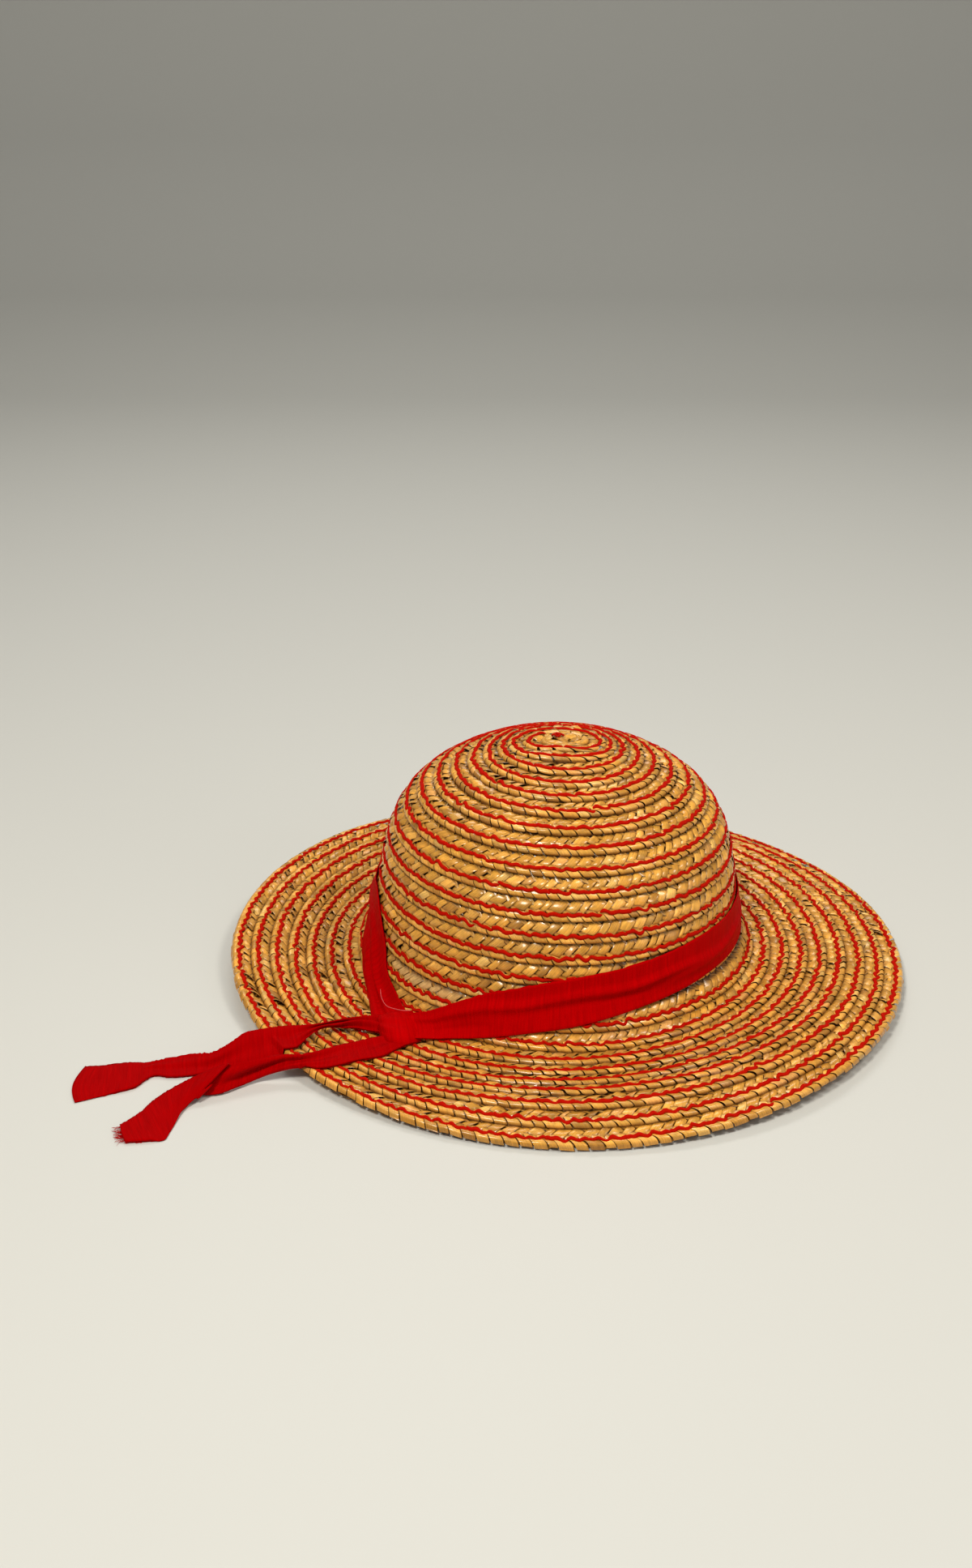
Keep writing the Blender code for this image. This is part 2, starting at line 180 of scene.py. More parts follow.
def read_grid(azimuth, station):
    """Radius, height and normal at azimuths and distances from the crown's middle."""
    across = (azimuth % 360.0) / 360.0 * (GRID_AZIMUTHS - 1)
    down = np.clip(station / GRID_STEP, 0, len(grid_stations) - 1.001)
    i = np.minimum(across.astype(int), GRID_AZIMUTHS - 2)
    j = down.astype(int)
    s, t = (across - i)[..., None], (down - j)[..., None]
    near = grid[i, j] * (1 - s) + grid[i + 1, j] * s
    far = grid[i, j + 1] * (1 - s) + grid[i + 1, j + 1] * s
    return near * (1 - t) + far * t


def ease(value, low, high):
    """Rises smoothly from 0 to 1 between two values."""
    share = np.clip((value - low) / (high - low), 0, 1)
    return share * share * (3 - 2 * share)


def on_hat(azimuth, station, proud, lowest=TABLE_CLEARANCE):
    """Points standing proud of the hat's plain face, which the plait's own thickness sets in a little."""
    face = read_grid(azimuth, station)
    foot = ease(station, CROWN_RUN - 0.004, CROWN_RUN + 0.012)
    set_in = CROWN_SET_IN * ease(station, 0.01, 0.07) * (1 - foot)
    radius = face[..., 0] + face[..., 2] * (proud - set_in)
    height = np.maximum(face[..., 1] + face[..., 3] * (proud - set_in), lowest)
    angle = np.radians(azimuth)
    sway = CROWN_SWAY * ease(face[..., 1], CROWN_FOOT_HEIGHT, CROWN_FOOT_HEIGHT + 0.04)
    x = HAT_CENTRE_X + CROWN_OFFSET_X + sway + radius * np.cos(angle)
    y = CROWN_OFFSET_Y + radius * np.sin(angle)
    return np.stack([x, y, height], axis=-1)


def brim_run(azimuth):
    """Distance from the crown's foot to the brim's edge."""
    return np.interp(azimuth % 360.0, grid_azimuths, brim_runs)


def crown_edge(turns):
    """Distance from the crown's middle of the plait's outer edge, oval round the first turns."""
    softness = 0.7
    change = softness * np.log1p(np.exp((turns - PITCH_CHANGE_TURN) / softness))
    thread = FIRST_THREAD + TOP_PITCH * turns + (SIDE_PITCH - TOP_PITCH) * change
    angle = np.radians(SEAM_AZIMUTH + 360.0 * turns)
    oval = 0.24 * np.exp(-0.5 * (np.maximum(thread - 0.014, 0) / 0.007) ** 2)
    shift = 0.0035 * np.exp(-0.5 * (np.maximum(thread - 0.022, 0) / 0.008) ** 2)
    shift = shift * np.clip(thread / 0.012, 0, 1)
    thread = thread * (1 + oval * np.cos(2 * angle)) + shift * np.sin(angle)
    return np.maximum(thread + THREAD_IN, 0.003)


BRIM_ROWS = int(math.ceil(brim_runs.max() / BRIM_PITCH))


def brim_edge(turns):
    """Distance of the outer edge of the brim's plait, in step with the brim's edge but for the jog behind."""
    row = np.floor(turns)
    share = np.clip((turns - row - JOG_START) / (1 - JOG_START), 0, 1)
    jog = share * share * (3 - 2 * share)
    whole = brim_run(SEAM_AZIMUTH + 360.0 * turns)
    return CROWN_RUN + np.minimum(whole - (BRIM_ROWS - row - jog) * BRIM_PITCH, whole)


def spread(rows, column, count):
    """A column of a table of rows, read as a smooth curve at an even count of places."""
    values = np.array([row[column] for row in rows], dtype=float)
    values = np.concatenate([[2 * values[0] - values[1]], values, [2 * values[-1] - values[-2]]])
    place = np.linspace(0, len(rows) - 1, count)
    step = np.minimum(place.astype(int), len(rows) - 2)
    near = [values[step + shift] for shift in range(4)]
    return catmull(*near, place - step)


class Row:
    """A spiral of plait: its turns, and how long it is along its thread."""

    def __init__(self, first, last, edge, above, fold_gap_shade, scallop, lap_shade_tone):
        # Of the last three numbers, the first is how deep the painted shade between the edge folds goes and
        # the last is the tone of the painted shadow under the row above
        self.lap_shade_tone = lap_shade_tone
        self.edge = edge
        self.above = above
        self.fold_gap_shade = fold_gap_shade
        self.scallop = scallop
        self.turns = np.arange(first, last, 1 / 360)
        azimuth = SEAM_AZIMUTH + 360.0 * self.turns
        radius = read_grid(azimuth, np.maximum(edge(self.turns) - THREAD_IN, 0.002))[..., 0]
        self.run = np.concatenate([[0.0], np.cumsum(radius[1:] * math.radians(1.0))])

    def turn_at(self, run):
        return np.interp(run, self.run, self.turns)

    def lay(self, turn, along, inward, proud):
        """Points given by along the row from a turn, in from the outer edge, and above the plain face."""
        azimuth = SEAM_AZIMUTH + 360.0 * turn
        start = self.edge(turn)
        radius = read_grid(azimuth, np.maximum(start - THREAD_IN, 0.004))[..., 0]
        turned = turn + along / (2 * math.pi * radius)
        edge = self.edge(turned)
        squeeze = np.minimum(1.0, (edge - 0.0004) / 0.0135)
        station = edge - inward * np.where(inward > 0, squeeze, 1.0)
        return on_hat(SEAM_AZIMUTH + 360.0 * turned, np.maximum(station, 0.0002), proud)


class Straws:
    """Gathers many small sheets into one mesh, with a tone and a place along the fibre at each point."""

    def __init__(self):
        self.points, self.faces, self.tones, self.fibres = [], [], [], []
        self.count = 0

    def add(self, points, tone, fibre, flip=False):
        """points is (sheets, along, across, 3), tone (sheets, along, across, 3) and fibre likewise."""
        sheets, rows, columns = points.shape[:3]
        index = np.arange(rows * columns).reshape(rows, columns)
        corners = [index[:-1, :-1], index[:-1, 1:], index[1:, 1:], index[1:, :-1]]
        if flip:
            corners.reverse()
        face = np.stack([corner.ravel() for corner in corners], axis=-1)
        start = self.count + np.arange(sheets) * rows * columns
        self.faces.append((start[:, None, None] + face[None]).reshape(-1, 4))
        self.points.append(points.reshape(-1, 3))
        self.tones.append(np.broadcast_to(tone, points.shape).reshape(-1, 3))
        self.fibres.append(np.broadcast_to(fibre, points.shape).reshape(-1, 3))
        self.count += sheets * rows * columns

    def build(self, name, material):
        return make_piece(name, np.concatenate(self.points), np.concatenate(self.faces), material,
                          np.concatenate(self.tones), np.concatenate(self.fibres))


def make_piece(name, points, faces, material, tones=None, fibres=None):
    """A mesh object that rides on the hat, shaded smooth."""
    mesh = bpy.data.meshes.new(name)
    mesh.vertices.add(len(points))
    mesh.vertices.foreach_set("co", np.ascontiguousarray(points, dtype=np.float32).ravel())
    mesh.loops.add(faces.size)
    mesh.loops.foreach_set("vertex_index", faces.astype(np.int32).ravel())
    mesh.polygons.add(len(faces))
    mesh.polygons.foreach_set("loop_start", np.arange(0, faces.size, faces.shape[1], dtype=np.int32))
    mesh.update(calc_edges=True)
    if tones is not None:
        layer = mesh.attributes.new("tone", "FLOAT_COLOR", "POINT")
        colours = np.concatenate([tones, np.ones((len(tones), 1))], axis=1)
        layer.data.foreach_set("color", colours.astype(np.float32).ravel())
    if fibres is not None:
        layer = mesh.attributes.new("fibre", "FLOAT_VECTOR", "POINT")
        layer.data.foreach_set("vector", np.ascontiguousarray(fibres, dtype=np.float32).ravel())
    mesh.shade_smooth()
    mesh.materials.append(material)
    piece = bpy.data.objects.new(name, mesh)
    bpy.context.scene.collection.objects.link(piece)
    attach(piece, "root")
    return piece


# Materials


def new_material(name):
    made = bpy.data.materials.new(name)
    made.use_nodes = True
    return made, made.node_tree, made.node_tree.nodes["Principled BSDF"]


def node(tree, kind, **settings):
    made = tree.nodes.new(kind)
    for key, value in settings.items():
        if key in made.inputs:
            made.inputs[key].default_value = value
        else:
            setattr(made, key, value)
    return made


def ranged(tree, value, low, high, start=0.0, stop=1.0):
    """A value that runs between start and stop, brought to run between low and high."""
    made = node(tree, "ShaderNodeMapRange")
    for name, number in (("From Min", start), ("From Max", stop), ("To Min", low), ("To Max", high)):
        made.inputs[name].default_value = number
    tree.links.new(value, made.inputs["Value"])
    return made.outputs["Result"]


def relief(tree, shader, value, strength, distance):
    """Bump from a value."""
    bump = node(tree, "ShaderNodeBump", Strength=strength, Distance=distance)
    tree.links.new(value, bump.inputs["Height"])
    tree.links.new(bump.outputs["Normal"], shader.inputs["Normal"])


def straw_material(name):
    """Glossy dried straw, with fine fibres along each straw and a tone of its own for each."""
    made, tree, shader = new_material(name)
    link = tree.links.new
    tone = node(tree, "ShaderNodeAttribute", attribute_name="tone")
    fibre = node(tree, "ShaderNodeAttribute", attribute_name="fibre")
    stretch = node(tree, "ShaderNodeMapping")
    stretch.inputs["Scale"].default_value = (120, 2600, 1)
    link(fibre.outputs["Vector"], stretch.inputs["Vector"])
    streaks = node(tree, "ShaderNodeTexNoise", Scale=1.0, Detail=3.0, Roughness=0.6)
    link(stretch.outputs["Vector"], streaks.inputs["Vector"])
    blotch = node(tree, "ShaderNodeTexNoise", Scale=330.0, Detail=2.0)
    place = node(tree, "ShaderNodeTexCoord")
    link(place.outputs["Object"], blotch.inputs["Vector"])
    factor = node(tree, "ShaderNodeMath", operation="MULTIPLY")
    link(ranged(tree, streaks.outputs["Fac"], 0.66, 1.22, 0.3, 0.7), factor.inputs[0])
    link(ranged(tree, blotch.outputs["Fac"], 0.84, 1.14, 0.3, 0.7), factor.inputs[1])
    colour = node(tree, "ShaderNodeVectorMath", operation="SCALE")
    link(tone.outputs["Color"], colour.inputs[0])
    link(factor.outputs["Value"], colour.inputs["Scale"])
    link(colour.outputs["Vector"], shader.inputs["Base Color"])
    link(ranged(tree, streaks.outputs["Fac"], 0.24, 0.44), shader.inputs["Roughness"])
    relief(tree, shader, streaks.outputs["Fac"], 0.5, 0.00012)
    shader.inputs["Specular IOR Level"].default_value = 0.4
    shader.inputs["Specular Tint"].default_value = (1.0, 0.88, 0.6, 1)
    shader.inputs["Coat Weight"].default_value = 0.5
    shader.inputs["Coat Roughness"].default_value = 0.16
    shader.inputs["Coat Tint"].default_value = (1.0, 0.93, 0.75, 1)
    return made


def thread_material():
    """Red sewing thread, twisted."""
    made, tree, shader = new_material("red_thread")
    link = tree.links.new
    fibre = node(tree, "ShaderNodeAttribute", attribute_name="fibre")
    twist = node(tree, "ShaderNodeMapping")
    twist.inputs["Scale"].default_value = (2600, 1.0, 1.0)
    link(fibre.outputs["Vector"], twist.inputs["Vector"])
    ply = node(tree, "ShaderNodeTexWave", Scale=0.5, Distortion=0.8)
    link(twist.outputs["Vector"], ply.inputs["Vector"])
    ramp = node(tree, "ShaderNodeValToRGB")
    ramp.color_ramp.elements[0].color = (0.40, 0.004, 0.001, 1)
    ramp.color_ramp.elements[1].color = (0.70, 0.009, 0.0015, 1)
    link(ply.outputs["Fac"], ramp.inputs["Fac"])
    link(ramp.outputs["Color"], shader.inputs["Base Color"])
    relief(tree, shader, ply.outputs["Fac"], 0.5, 0.0002)
    shader.inputs["Roughness"].default_value = 0.7
    shader.inputs["Specular IOR Level"].default_value = 0.1
    shader.inputs["Specular Tint"].default_value = (1.0, 0.2, 0.15, 1)
    return made


def ribbon_material():
    """Red ribbon with fine ribs across it and a soft sheen."""
    made, tree, shader = new_material("red_ribbon")
    link = tree.links.new
    fibre = node(tree, "ShaderNodeAttribute", attribute_name="fibre")
    parts = node(tree, "ShaderNodeSeparateXYZ")
    link(fibre.outputs["Vector"], parts.inputs["Vector"])
    rib = node(tree, "ShaderNodeMath", operation="MULTIPLY")
    rib.inputs[1].default_value = 2 * math.pi / RIB_SPACING
    link(parts.outputs["X"], rib.inputs[0])
    wave = node(tree, "ShaderNodeMath", operation="SINE")
    link(rib.outputs["Value"], wave.inputs[0])
    slub = node(tree, "ShaderNodeMapping")
    slub.inputs["Scale"].default_value = (900, 60, 1)
    link(fibre.outputs["Vector"], slub.inputs["Vector"])
    noise = node(tree, "ShaderNodeTexNoise", Scale=1.0, Detail=2.0)
    link(slub.outputs["Vector"], noise.inputs["Vector"])
    ramp = node(tree, "ShaderNodeValToRGB")
    ramp.color_ramp.elements[0].position = 0.25
    ramp.color_ramp.elements[0].color = (0.39, 0.0, 0.0006, 1)
    ramp.color_ramp.elements[1].position = 0.75
    ramp.color_ramp.elements[1].color = (0.54, 0.0, 0.0008, 1)
    link(noise.outputs["Fac"], ramp.inputs["Fac"])
    tone = node(tree, "ShaderNodeAttribute", attribute_name="tone")
    colour = node(tree, "ShaderNodeVectorMath", operation="MULTIPLY")
    link(ramp.outputs["Color"], colour.inputs[0])
    link(tone.outputs["Color"], colour.inputs[1])
    link(colour.outputs["Vector"], shader.inputs["Base Color"])
    height = node(tree, "ShaderNodeMath", operation="MULTIPLY_ADD")
    height.inputs[1].default_value = 0.5
    link(wave.outputs["Value"], height.inputs[0])
    link(noise.outputs["Fac"], height.inputs[2])
    relief(tree, shader, height.outputs["Value"], 0.35, 0.0002)
    shader.inputs["Roughness"].default_value = 0.6
    shader.inputs["Specular IOR Level"].default_value = 0.04
    shader.inputs["Specular Tint"].default_value = (1.0, 0.06, 0.06, 1)
    return made


loose_red, _, loose_shader = new_material("loose_thread")
loose_shader.inputs["Base Color"].default_value = (0.75, 0.12, 0.11, 1)
loose_shader.inputs["Roughness"].default_value = 0.6
straw = straw_material("straw")
thread_red = thread_material()
ribbon_red = ribbon_material()

# Tones of straw: most are golden, some paler, some pinkish or brown
STRAW_TONES = np.array([
    (0.80, 0.392, 0.060),
    (0.86, 0.435, 0.085),
    (0.70, 0.328, 0.048),
    (0.90, 0.530, 0.140),
    (0.56, 0.252, 0.042),
    (0.80, 0.388, 0.100),
])
TONE_CHANCES = (0.40, 0.26, 0.20, 0.04, 0.06, 0.04)


def straw_tones(count, shade=1.0, spread_by=0.12):
    """A tone for each of a number of straws."""
    picks = random.choice(len(STRAW_TONES), size=count, p=TONE_CHANCES)
    bright = shade * (1 + spread_by * random.standard_normal(count))
    return STRAW_TONES[picks] * np.clip(bright, 0.6, 1.5)[:, None]


# Height of the plait's face above the hat's plain face, by distance in from its outer edge
PLAIT_PROFILE = (
    dict(inward=-0.0004, height=-0.0012),
    dict(inward=-0.0001, height=-0.0002),
    dict(inward=0.0004, height=0.0008),
    dict(inward=0.0012, height=0.0014),
    dict(inward=0.0021, height=0.0014),
    dict(inward=0.0030, height=0.0010),
    dict(inward=0.0039, height=0.0003),
    dict(inward=0.0047, height=0.0005),
    dict(inward=0.0062, height=0.0008),
    dict(inward=0.0078, height=0.0004),
    dict(inward=0.0096, height=-0.0003),
    dict(inward=0.0116, height=-0.0010),
    dict(inward=0.0140, height=-0.0015),
)
profile_inward = [row["inward"] for row in PLAIT_PROFILE]
profile_height = [row["height"] for row in PLAIT_PROFILE]


def plait_height(inward):
    return np.interp(inward, profile_inward, profile_height)


def cell_grid(ends, sides):
    """Places over a straw, from end to end and from side to side, closer together at its edges."""
    a = np.array(ends)
    b = np.array(sides)
    a, b = np.meshgrid(a, b, indexing="ij")
    return a[None], b[None]


def painted_edge_shade(a, b, depth=0.6):
    """Painted shade on a straw: darker close to its sides and ends, where the gaps between straws lie in
    shade.
    """
    sides = np.clip((1 - np.abs(b)) / 0.10, 0, 1)
    ends = np.clip(np.minimum(a, 1 - a) / 0.06, 0, 1)
    return 1 - depth * (1 - sides * ends)


def tinted(base, factor):
    """Tones of straws by their shading, which is redder where it is darker."""
    factor = np.broadcast_to(factor, (len(base), *factor.shape[1:]))[..., None]
    return base[:, None, None, :] * factor ** np.array((1.0, 1.22, 1.40))


def fibre_places(a, b, length, width, count):
    """Places along and across the fibre, shifted to another stretch of straw for each."""
    shift = random.random((count, 2)) * 3.0
    along = a * length + shift[:, :1, None]
    across = b * width / 2 + shift[:, 1:, None]
    return np.stack([along, across, np.zeros_like(along)], axis=-1)


FINE_ENDS = (0.0, 0.05, 0.2, 0.5, 0.8, 0.95, 1.0)
FINE_SIDES = (-1.0, -0.92, -0.7, -0.25, 0.25, 0.7, 0.92, 1.0)
PLAIN_ENDS = (0.0, 0.25, 0.6, 1.0)
PLAIN_SIDES = (-1.0, -0.8, 0.0, 0.8, 1.0)
FOLD_ENDS = (0.0, 0.15, 0.35, 0.55, 0.72, 0.86, 0.95, 1.0)
CELL_GAP = -0.00012
LEAN = 0.0048
DROP = 0.0020
LONG_SIDE = 0.0052
FOOT_IN = 0.0043
# Depths of the painted shade at the straws' sides and ends
TOP_STRAW_EDGE_SHADE = 0.76
LAPPED_STRAW_EDGE_SHADE = 0.80
# Painted shade: the darker tone of the straws that lie under the row above
SHADED_TONE = 0.86
PALE_TONE = 1.12
FOLD_TONE = 0.96
SHADED_SINK = 0.00038
PALE_SINK = 0.00012
# Tone of the painted shade under a row's own rolled edge
ROLLED_SHADE_TONE = 0.18
STITCH_LENGTH = 0.0094
STITCH_SPREAD = 0.0010
STITCH_LEAST = 0.0068
STITCH_MOST = 0.0120
STITCH_OVERLAP = 0.0012
THREAD_HALF_WIDTH = 0.00108
THREAD_HEIGHT = 0.00085
THREAD_PROUD = 0.00100
BRIM_THREAD_OVERRUN = 0.9
INSIDE_FACE = 0.0022
INSIDE_TILT = 0.0010
INSIDE_LEAN = 0.0050
INSIDE_THREAD = 0.0128
WORN_TONE = (0.74, 0.47, 0.20)
WORN_START = (205.0, 213.0)
WORN_STOP = (232.0, 246.0)
WORN_LOW = 0.0015
WORN_REACH = 0.0046


def at_rim(row, turns):
    """1 where a row is the hat's outermost one."""
    reach = CROWN_RUN + brim_run(SEAM_AZIMUTH + 360.0 * turns)
    return 1.0 * (row.edge(turns) > reach - 0.0005)


def painted_lap_shade(row, turns, inward):
    """Painted shade on the straw: darker close under the edge of the row above, where its shadow falls, and
    under its own rolled edge.
    """
    covered = np.minimum(row.edge(turns) - row.above(turns), 0.0130)
    near = np.clip((covered - inward) / 0.0013, 0, 1)
    rolled = np.clip((inward + 0.0001) / 0.0006, 0, 1)
    rolled = np.maximum(rolled, 0.75 * at_rim(row, turns))
    return (row.lap_shade_tone + (1 - row.lap_shade_tone) * near) * (ROLLED_SHADE_TONE + (1 - ROLLED_SHADE_TONE) * rolled)


def scatter(count, size):
    """A random amount for each straw."""
    return size * random.standard_normal((count, 1, 1))


def worn(row, turns, tones):
    """Tones of straws, greyer where the plait is worn, low on the crown's left."""
    turns = turns.ravel()
    azimuth = (SEAM_AZIMUTH + 360.0 * turns) % 360.0
    off = row.edge(turns) - 0.0075 - CROWN_RUN - WORN_LOW
    share = ease(azimuth, *WORN_START) * (1 - ease(azimuth, *WORN_STOP)) * (np.abs(off) < WORN_REACH)
    share = (share * (0.60 + 0.25 * random.random(len(turns))))[:, None]
    return tones * (1 - share) + np.array(WORN_TONE) * share


def weave(straws, row, turns, wide):
    """Lay the plait's straws at turns along a row, each with its share of the usual width."""
    count = len(turns)
    turns = turns[:, None, None]
    wide = wide[:, None, None]
    lift = scatter(count, 0.00010)

    # Straws that run up to the right, on top of the plait
    a, b = cell_grid(FINE_ENDS, FINE_SIDES)
    half = (CELL_LENGTH * wide - CELL_GAP) / 2
    inward = FOOT_IN + DROP * (1 - b) / 2 + LONG_SIDE * a + scatter(count, 0.0002) * (2 * a - 1)
    along = LEAN * (a - 0.5) + half * b + LEAN * 0.43 * (1 - b) / 2 + scatter(count, 0.00018) * a
    bow = scatter(count, 0.00030)
    along = along + bow * np.sin(math.pi * a)
    crease = scatter(count, 0.35)
    dome = 0.00040 * (1 - np.abs(b) ** 5) - scatter(count, 0.00026) * np.abs(b - crease)
    ends = -0.00050 * np.abs(2 * a - 1) ** 3
    sway = scatter(count, 0.00040) * b + scatter(count, 0.00030) * (2 * a - 1) + 0.00016 * b
    points = row.lay(turns, along, inward, plait_height(inward) + dome + ends + lift + sway)
    # Painted light and shade: darker at the straw's sides and ends, lighter toward its upper end and one side
    # as the light falls, and the painted shadow under the laps
    light = painted_edge_shade(a, b, TOP_STRAW_EDGE_SHADE) * (1 + 0.22 * (a - 0.5) - 0.16 * b) * painted_lap_shade(row, turns, inward)
    tone = tinted(worn(row, turns, straw_tones(count)), light)
    straws.add(points, tone, fibre_places(a, b, 0.0066, 0.0050, count), flip=True)

    # Straws that run up to the left, in the shade of the row above
    a, b = cell_grid(PLAIN_ENDS, PLAIN_SIDES)
    inward = 0.0080 + 0.0054 * a - 0.0014 * b
    along = 0.0062 - 0.0044 * a + CELL_LENGTH * 0.50 * b
    proud = plait_height(inward) + 0.00030 * (1 - b**4) + 0.4 * lift - SHADED_SINK
    points = row.lay(turns, along, inward, proud)
    # Painted shade: these straws get a darker tone, darker still at their edges and close under the row above
    light = painted_edge_shade(a, b, LAPPED_STRAW_EDGE_SHADE) * painted_lap_shade(row, turns, inward)
    tone = tinted(straw_tones(count, SHADED_TONE), light)
    straws.add(points, tone, fibre_places(a, b, 0.006, 0.0045, count), flip=True)

    # Pale straws that come out between the feet, over the thread
    inward = 0.0034 + 0.0030 * a - 0.0004 * b
    along = -0.0010 - 0.0024 * a + CELL_LENGTH * 0.50 * b
    proud = plait_height(inward) + 0.00030 * (1 - b**2) + 0.5 * lift - PALE_SINK
    points = row.lay(turns, along, inward, proud)
    # Painted shade at the straws' sides and ends
    tone = tinted(straw_tones(count, PALE_TONE), painted_edge_shade(a, b))
    straws.add(points, tone, fibre_places(a, b, 0.005, 0.0045, count), flip=True)

    # The folds along the row's outer edge
    a, b = cell_grid(FOLD_ENDS, FINE_SIDES)
    swell = scatter(count, 0.00012)
    scallop = row.scallop * (1 - 0.9 * at_rim(row, turns))
    inward = 0.0042 * (1 - a) - 0.0004 * a + scallop * (b**2) * a + scatter(count, 0.00018) * a
    along = 0.0002 + 0.0030 * a + (CELL_LENGTH * wide - 0.00015) / 2 * b * (1 - 0.10 * a)
    dome = 0.00015 * (1 - b**2) - 0.00010 * b + scatter(count, 0.00014) * b
    proud = plait_height(inward) + dome + swell * np.sin(math.pi * a)
    points = row.lay(turns, along, inward, proud)
    # Painted shade between the folds, less at the rim; each fold lighter on its upper part and darker as it
    # rolls down to the outer edge, with the painted shadow under the row above
    fold_edge_shade = row.fold_gap_shade * (1 - 0.6 * at_rim(row, turns))
    light = painted_edge_shade(0.5, b, fold_edge_shade) * (1.15 - 0.25 * a) * painted_lap_shade(row, turns, inward)
    tone = tinted(straw_tones(count, FOLD_TONE), light)
    straws.add(points, tone, fibre_places(a, b, 0.006, 0.0055, count), flip=True)


def stitch(straws, row, turns, lengths, wave):
    """Sew the thread along a row: back stitches that each start a little above the last one's end."""
    count = len(turns)
    turns = turns[:, None, None]
    lengths = lengths[:, None, None]
    a, side = np.meshgrid(np.linspace(0, 1, 10), np.linspace(0, 1, 6), indexing="ij")
    a, side = a[None], side[None]
    start = 0.00042 + scatter(count, 0.00030)
    end = -0.00040 + scatter(count, 0.00030)
    sway = scatter(count, 0.00035)
    phase = 2 * math.pi * (np.interp(turns, row.turns, row.run) + (a - 0.5) * lengths) / CELL_LENGTH
    thick = THREAD_HALF_WIDTH * (1 + scatter(count, 0.08))
    taper = 1 - 0.5 * np.abs(2 * a - 1) ** 7
    angle = math.pi * (1.2 * side - 0.1)
    across = np.cos(angle) * thick * taper
    rise = np.sin(angle) * THREAD_HEIGHT * taper
    inward = THREAD_IN + start * (1 - a) + end * a + sway * np.sin(math.pi * 2 * a) + across
    inward = inward + wave * np.sin(phase)
    proud = THREAD_PROUD + rise - 0.0005 * np.abs(2 * a - 1) ** 8
    along = (a - 0.5) * lengths
    points = row.lay(turns, along, inward, proud + 0 * inward)
    fibre = np.stack([a * lengths + side * 0.0009, side + 0 * lengths * a, 0 * a * lengths], axis=-1)
    straws.add(points, np.ones(3), fibre, flip=False)


def thread_stitches(row, first, last):
    """Middles and lengths of stitches along a stretch of a row's thread."""
    start, stop = np.interp([first, last], row.turns, row.run)
    count = int((stop - start) / STITCH_LENGTH) + 1
    lengths = STITCH_LENGTH + STITCH_SPREAD * random.standard_normal(count)
    lengths = np.clip(lengths, STITCH_LEAST, STITCH_MOST)
    ends = start + np.cumsum(lengths)
    lengths = lengths[ends < stop]
    middles = ends[ends < stop] - lengths / 2
    return row.turn_at(middles), lengths + STITCH_OVERLAP


crown_turns = np.arange(8.0, 16.0, 1 / 360)
over = crown_turns[crown_edge(crown_turns) > CROWN_RUN + CROWN_OVERRUN]
CROWN_LAST = over[0]


def crown_cover(azimuth):
    """Distance of the outer edge of the crown's last turn, at azimuths."""
    turn = ((azimuth - SEAM_AZIMUTH) % 360.0) / 360.0
    whole = np.floor(CROWN_LAST - turn)
    return crown_edge(whole + turn)


def above_on_crown(turns):
    """Distance of the outer edge of the turn before, which laps over this one."""
    return np.where(turns < 0.2, 0.0, crown_edge(turns - 1))


def above_on_brim(turns):
    return np.maximum(brim_edge(turns - 1), crown_cover(SEAM_AZIMUTH + 360.0 * turns))


def shown_on_brim(turns, least):
    """Which turns of the brim's plait come out from under the row above by at least so much."""
    return brim_edge(turns) - above_on_brim(turns) > least


# Of the last three numbers, the first is how deep the painted shade between the edge folds goes and the last
# is the tone of the painted shadow under the row above
crown_row = Row(FIRST_TURN, CROWN_LAST, crown_edge, above_on_crown, 0.28, 0.00035, 0.06)
brim_row = Row(0.0, BRIM_ROWS + 0.98, brim_edge, above_on_brim, 0.30, 0.00045, 0.20)


def cells_of(row):
    """Turns at the middles of a row's cells, and their widths as shares of the usual one."""
    bounds = np.arange(0.0, row.run[-1], CELL_LENGTH)
    bounds = bounds + 0.13 * CELL_LENGTH * random.standard_normal(len(bounds)).clip(-2, 2)
    return row.turn_at((bounds[1:] + bounds[:-1]) / 2), np.diff(bounds) / CELL_LENGTH


crown_cells = np.stack(cells_of(crown_row), axis=-1)
brim_cells = np.stack(cells_of(brim_row), axis=-1)
brim_cells = brim_cells[shown_on_brim(brim_cells[:, 0], LEAST_SHOWN)]


def shown_stitches(row):
    """Middles and lengths of a row's stitches, less those on the brim that another row covers."""
    if row is crown_row:
        return thread_stitches(row, 0.0, CROWN_LAST)
    middles, lengths = thread_stitches(row, 0.0, BRIM_ROWS + BRIM_THREAD_OVERRUN)
    shown = shown_on_brim(middles, THREAD_IN)
    return middles[shown], lengths[shown]


HALVES = (
    (("crown_plait_top", "crown_plait_side"), crown_row, crown_cells),
    (("brim_plait_inner", "brim_plait_outer"), brim_row, brim_cells),
)
for names, row, cells in HALVES:
    for name, half in zip(names, np.array_split(cells, 2)):
        straws = Straws()
        weave(straws, row, half[:, 0], half[:, 1])
        straws.build(name, straw)

for name, row, wave in (("crown_thread", crown_row, 0.00040), ("brim_thread", brim_row, 0.00065)):
    straws = Straws()
    stitch(straws, row, *shown_stitches(row), wave)
    straws.build(name, thread_red)


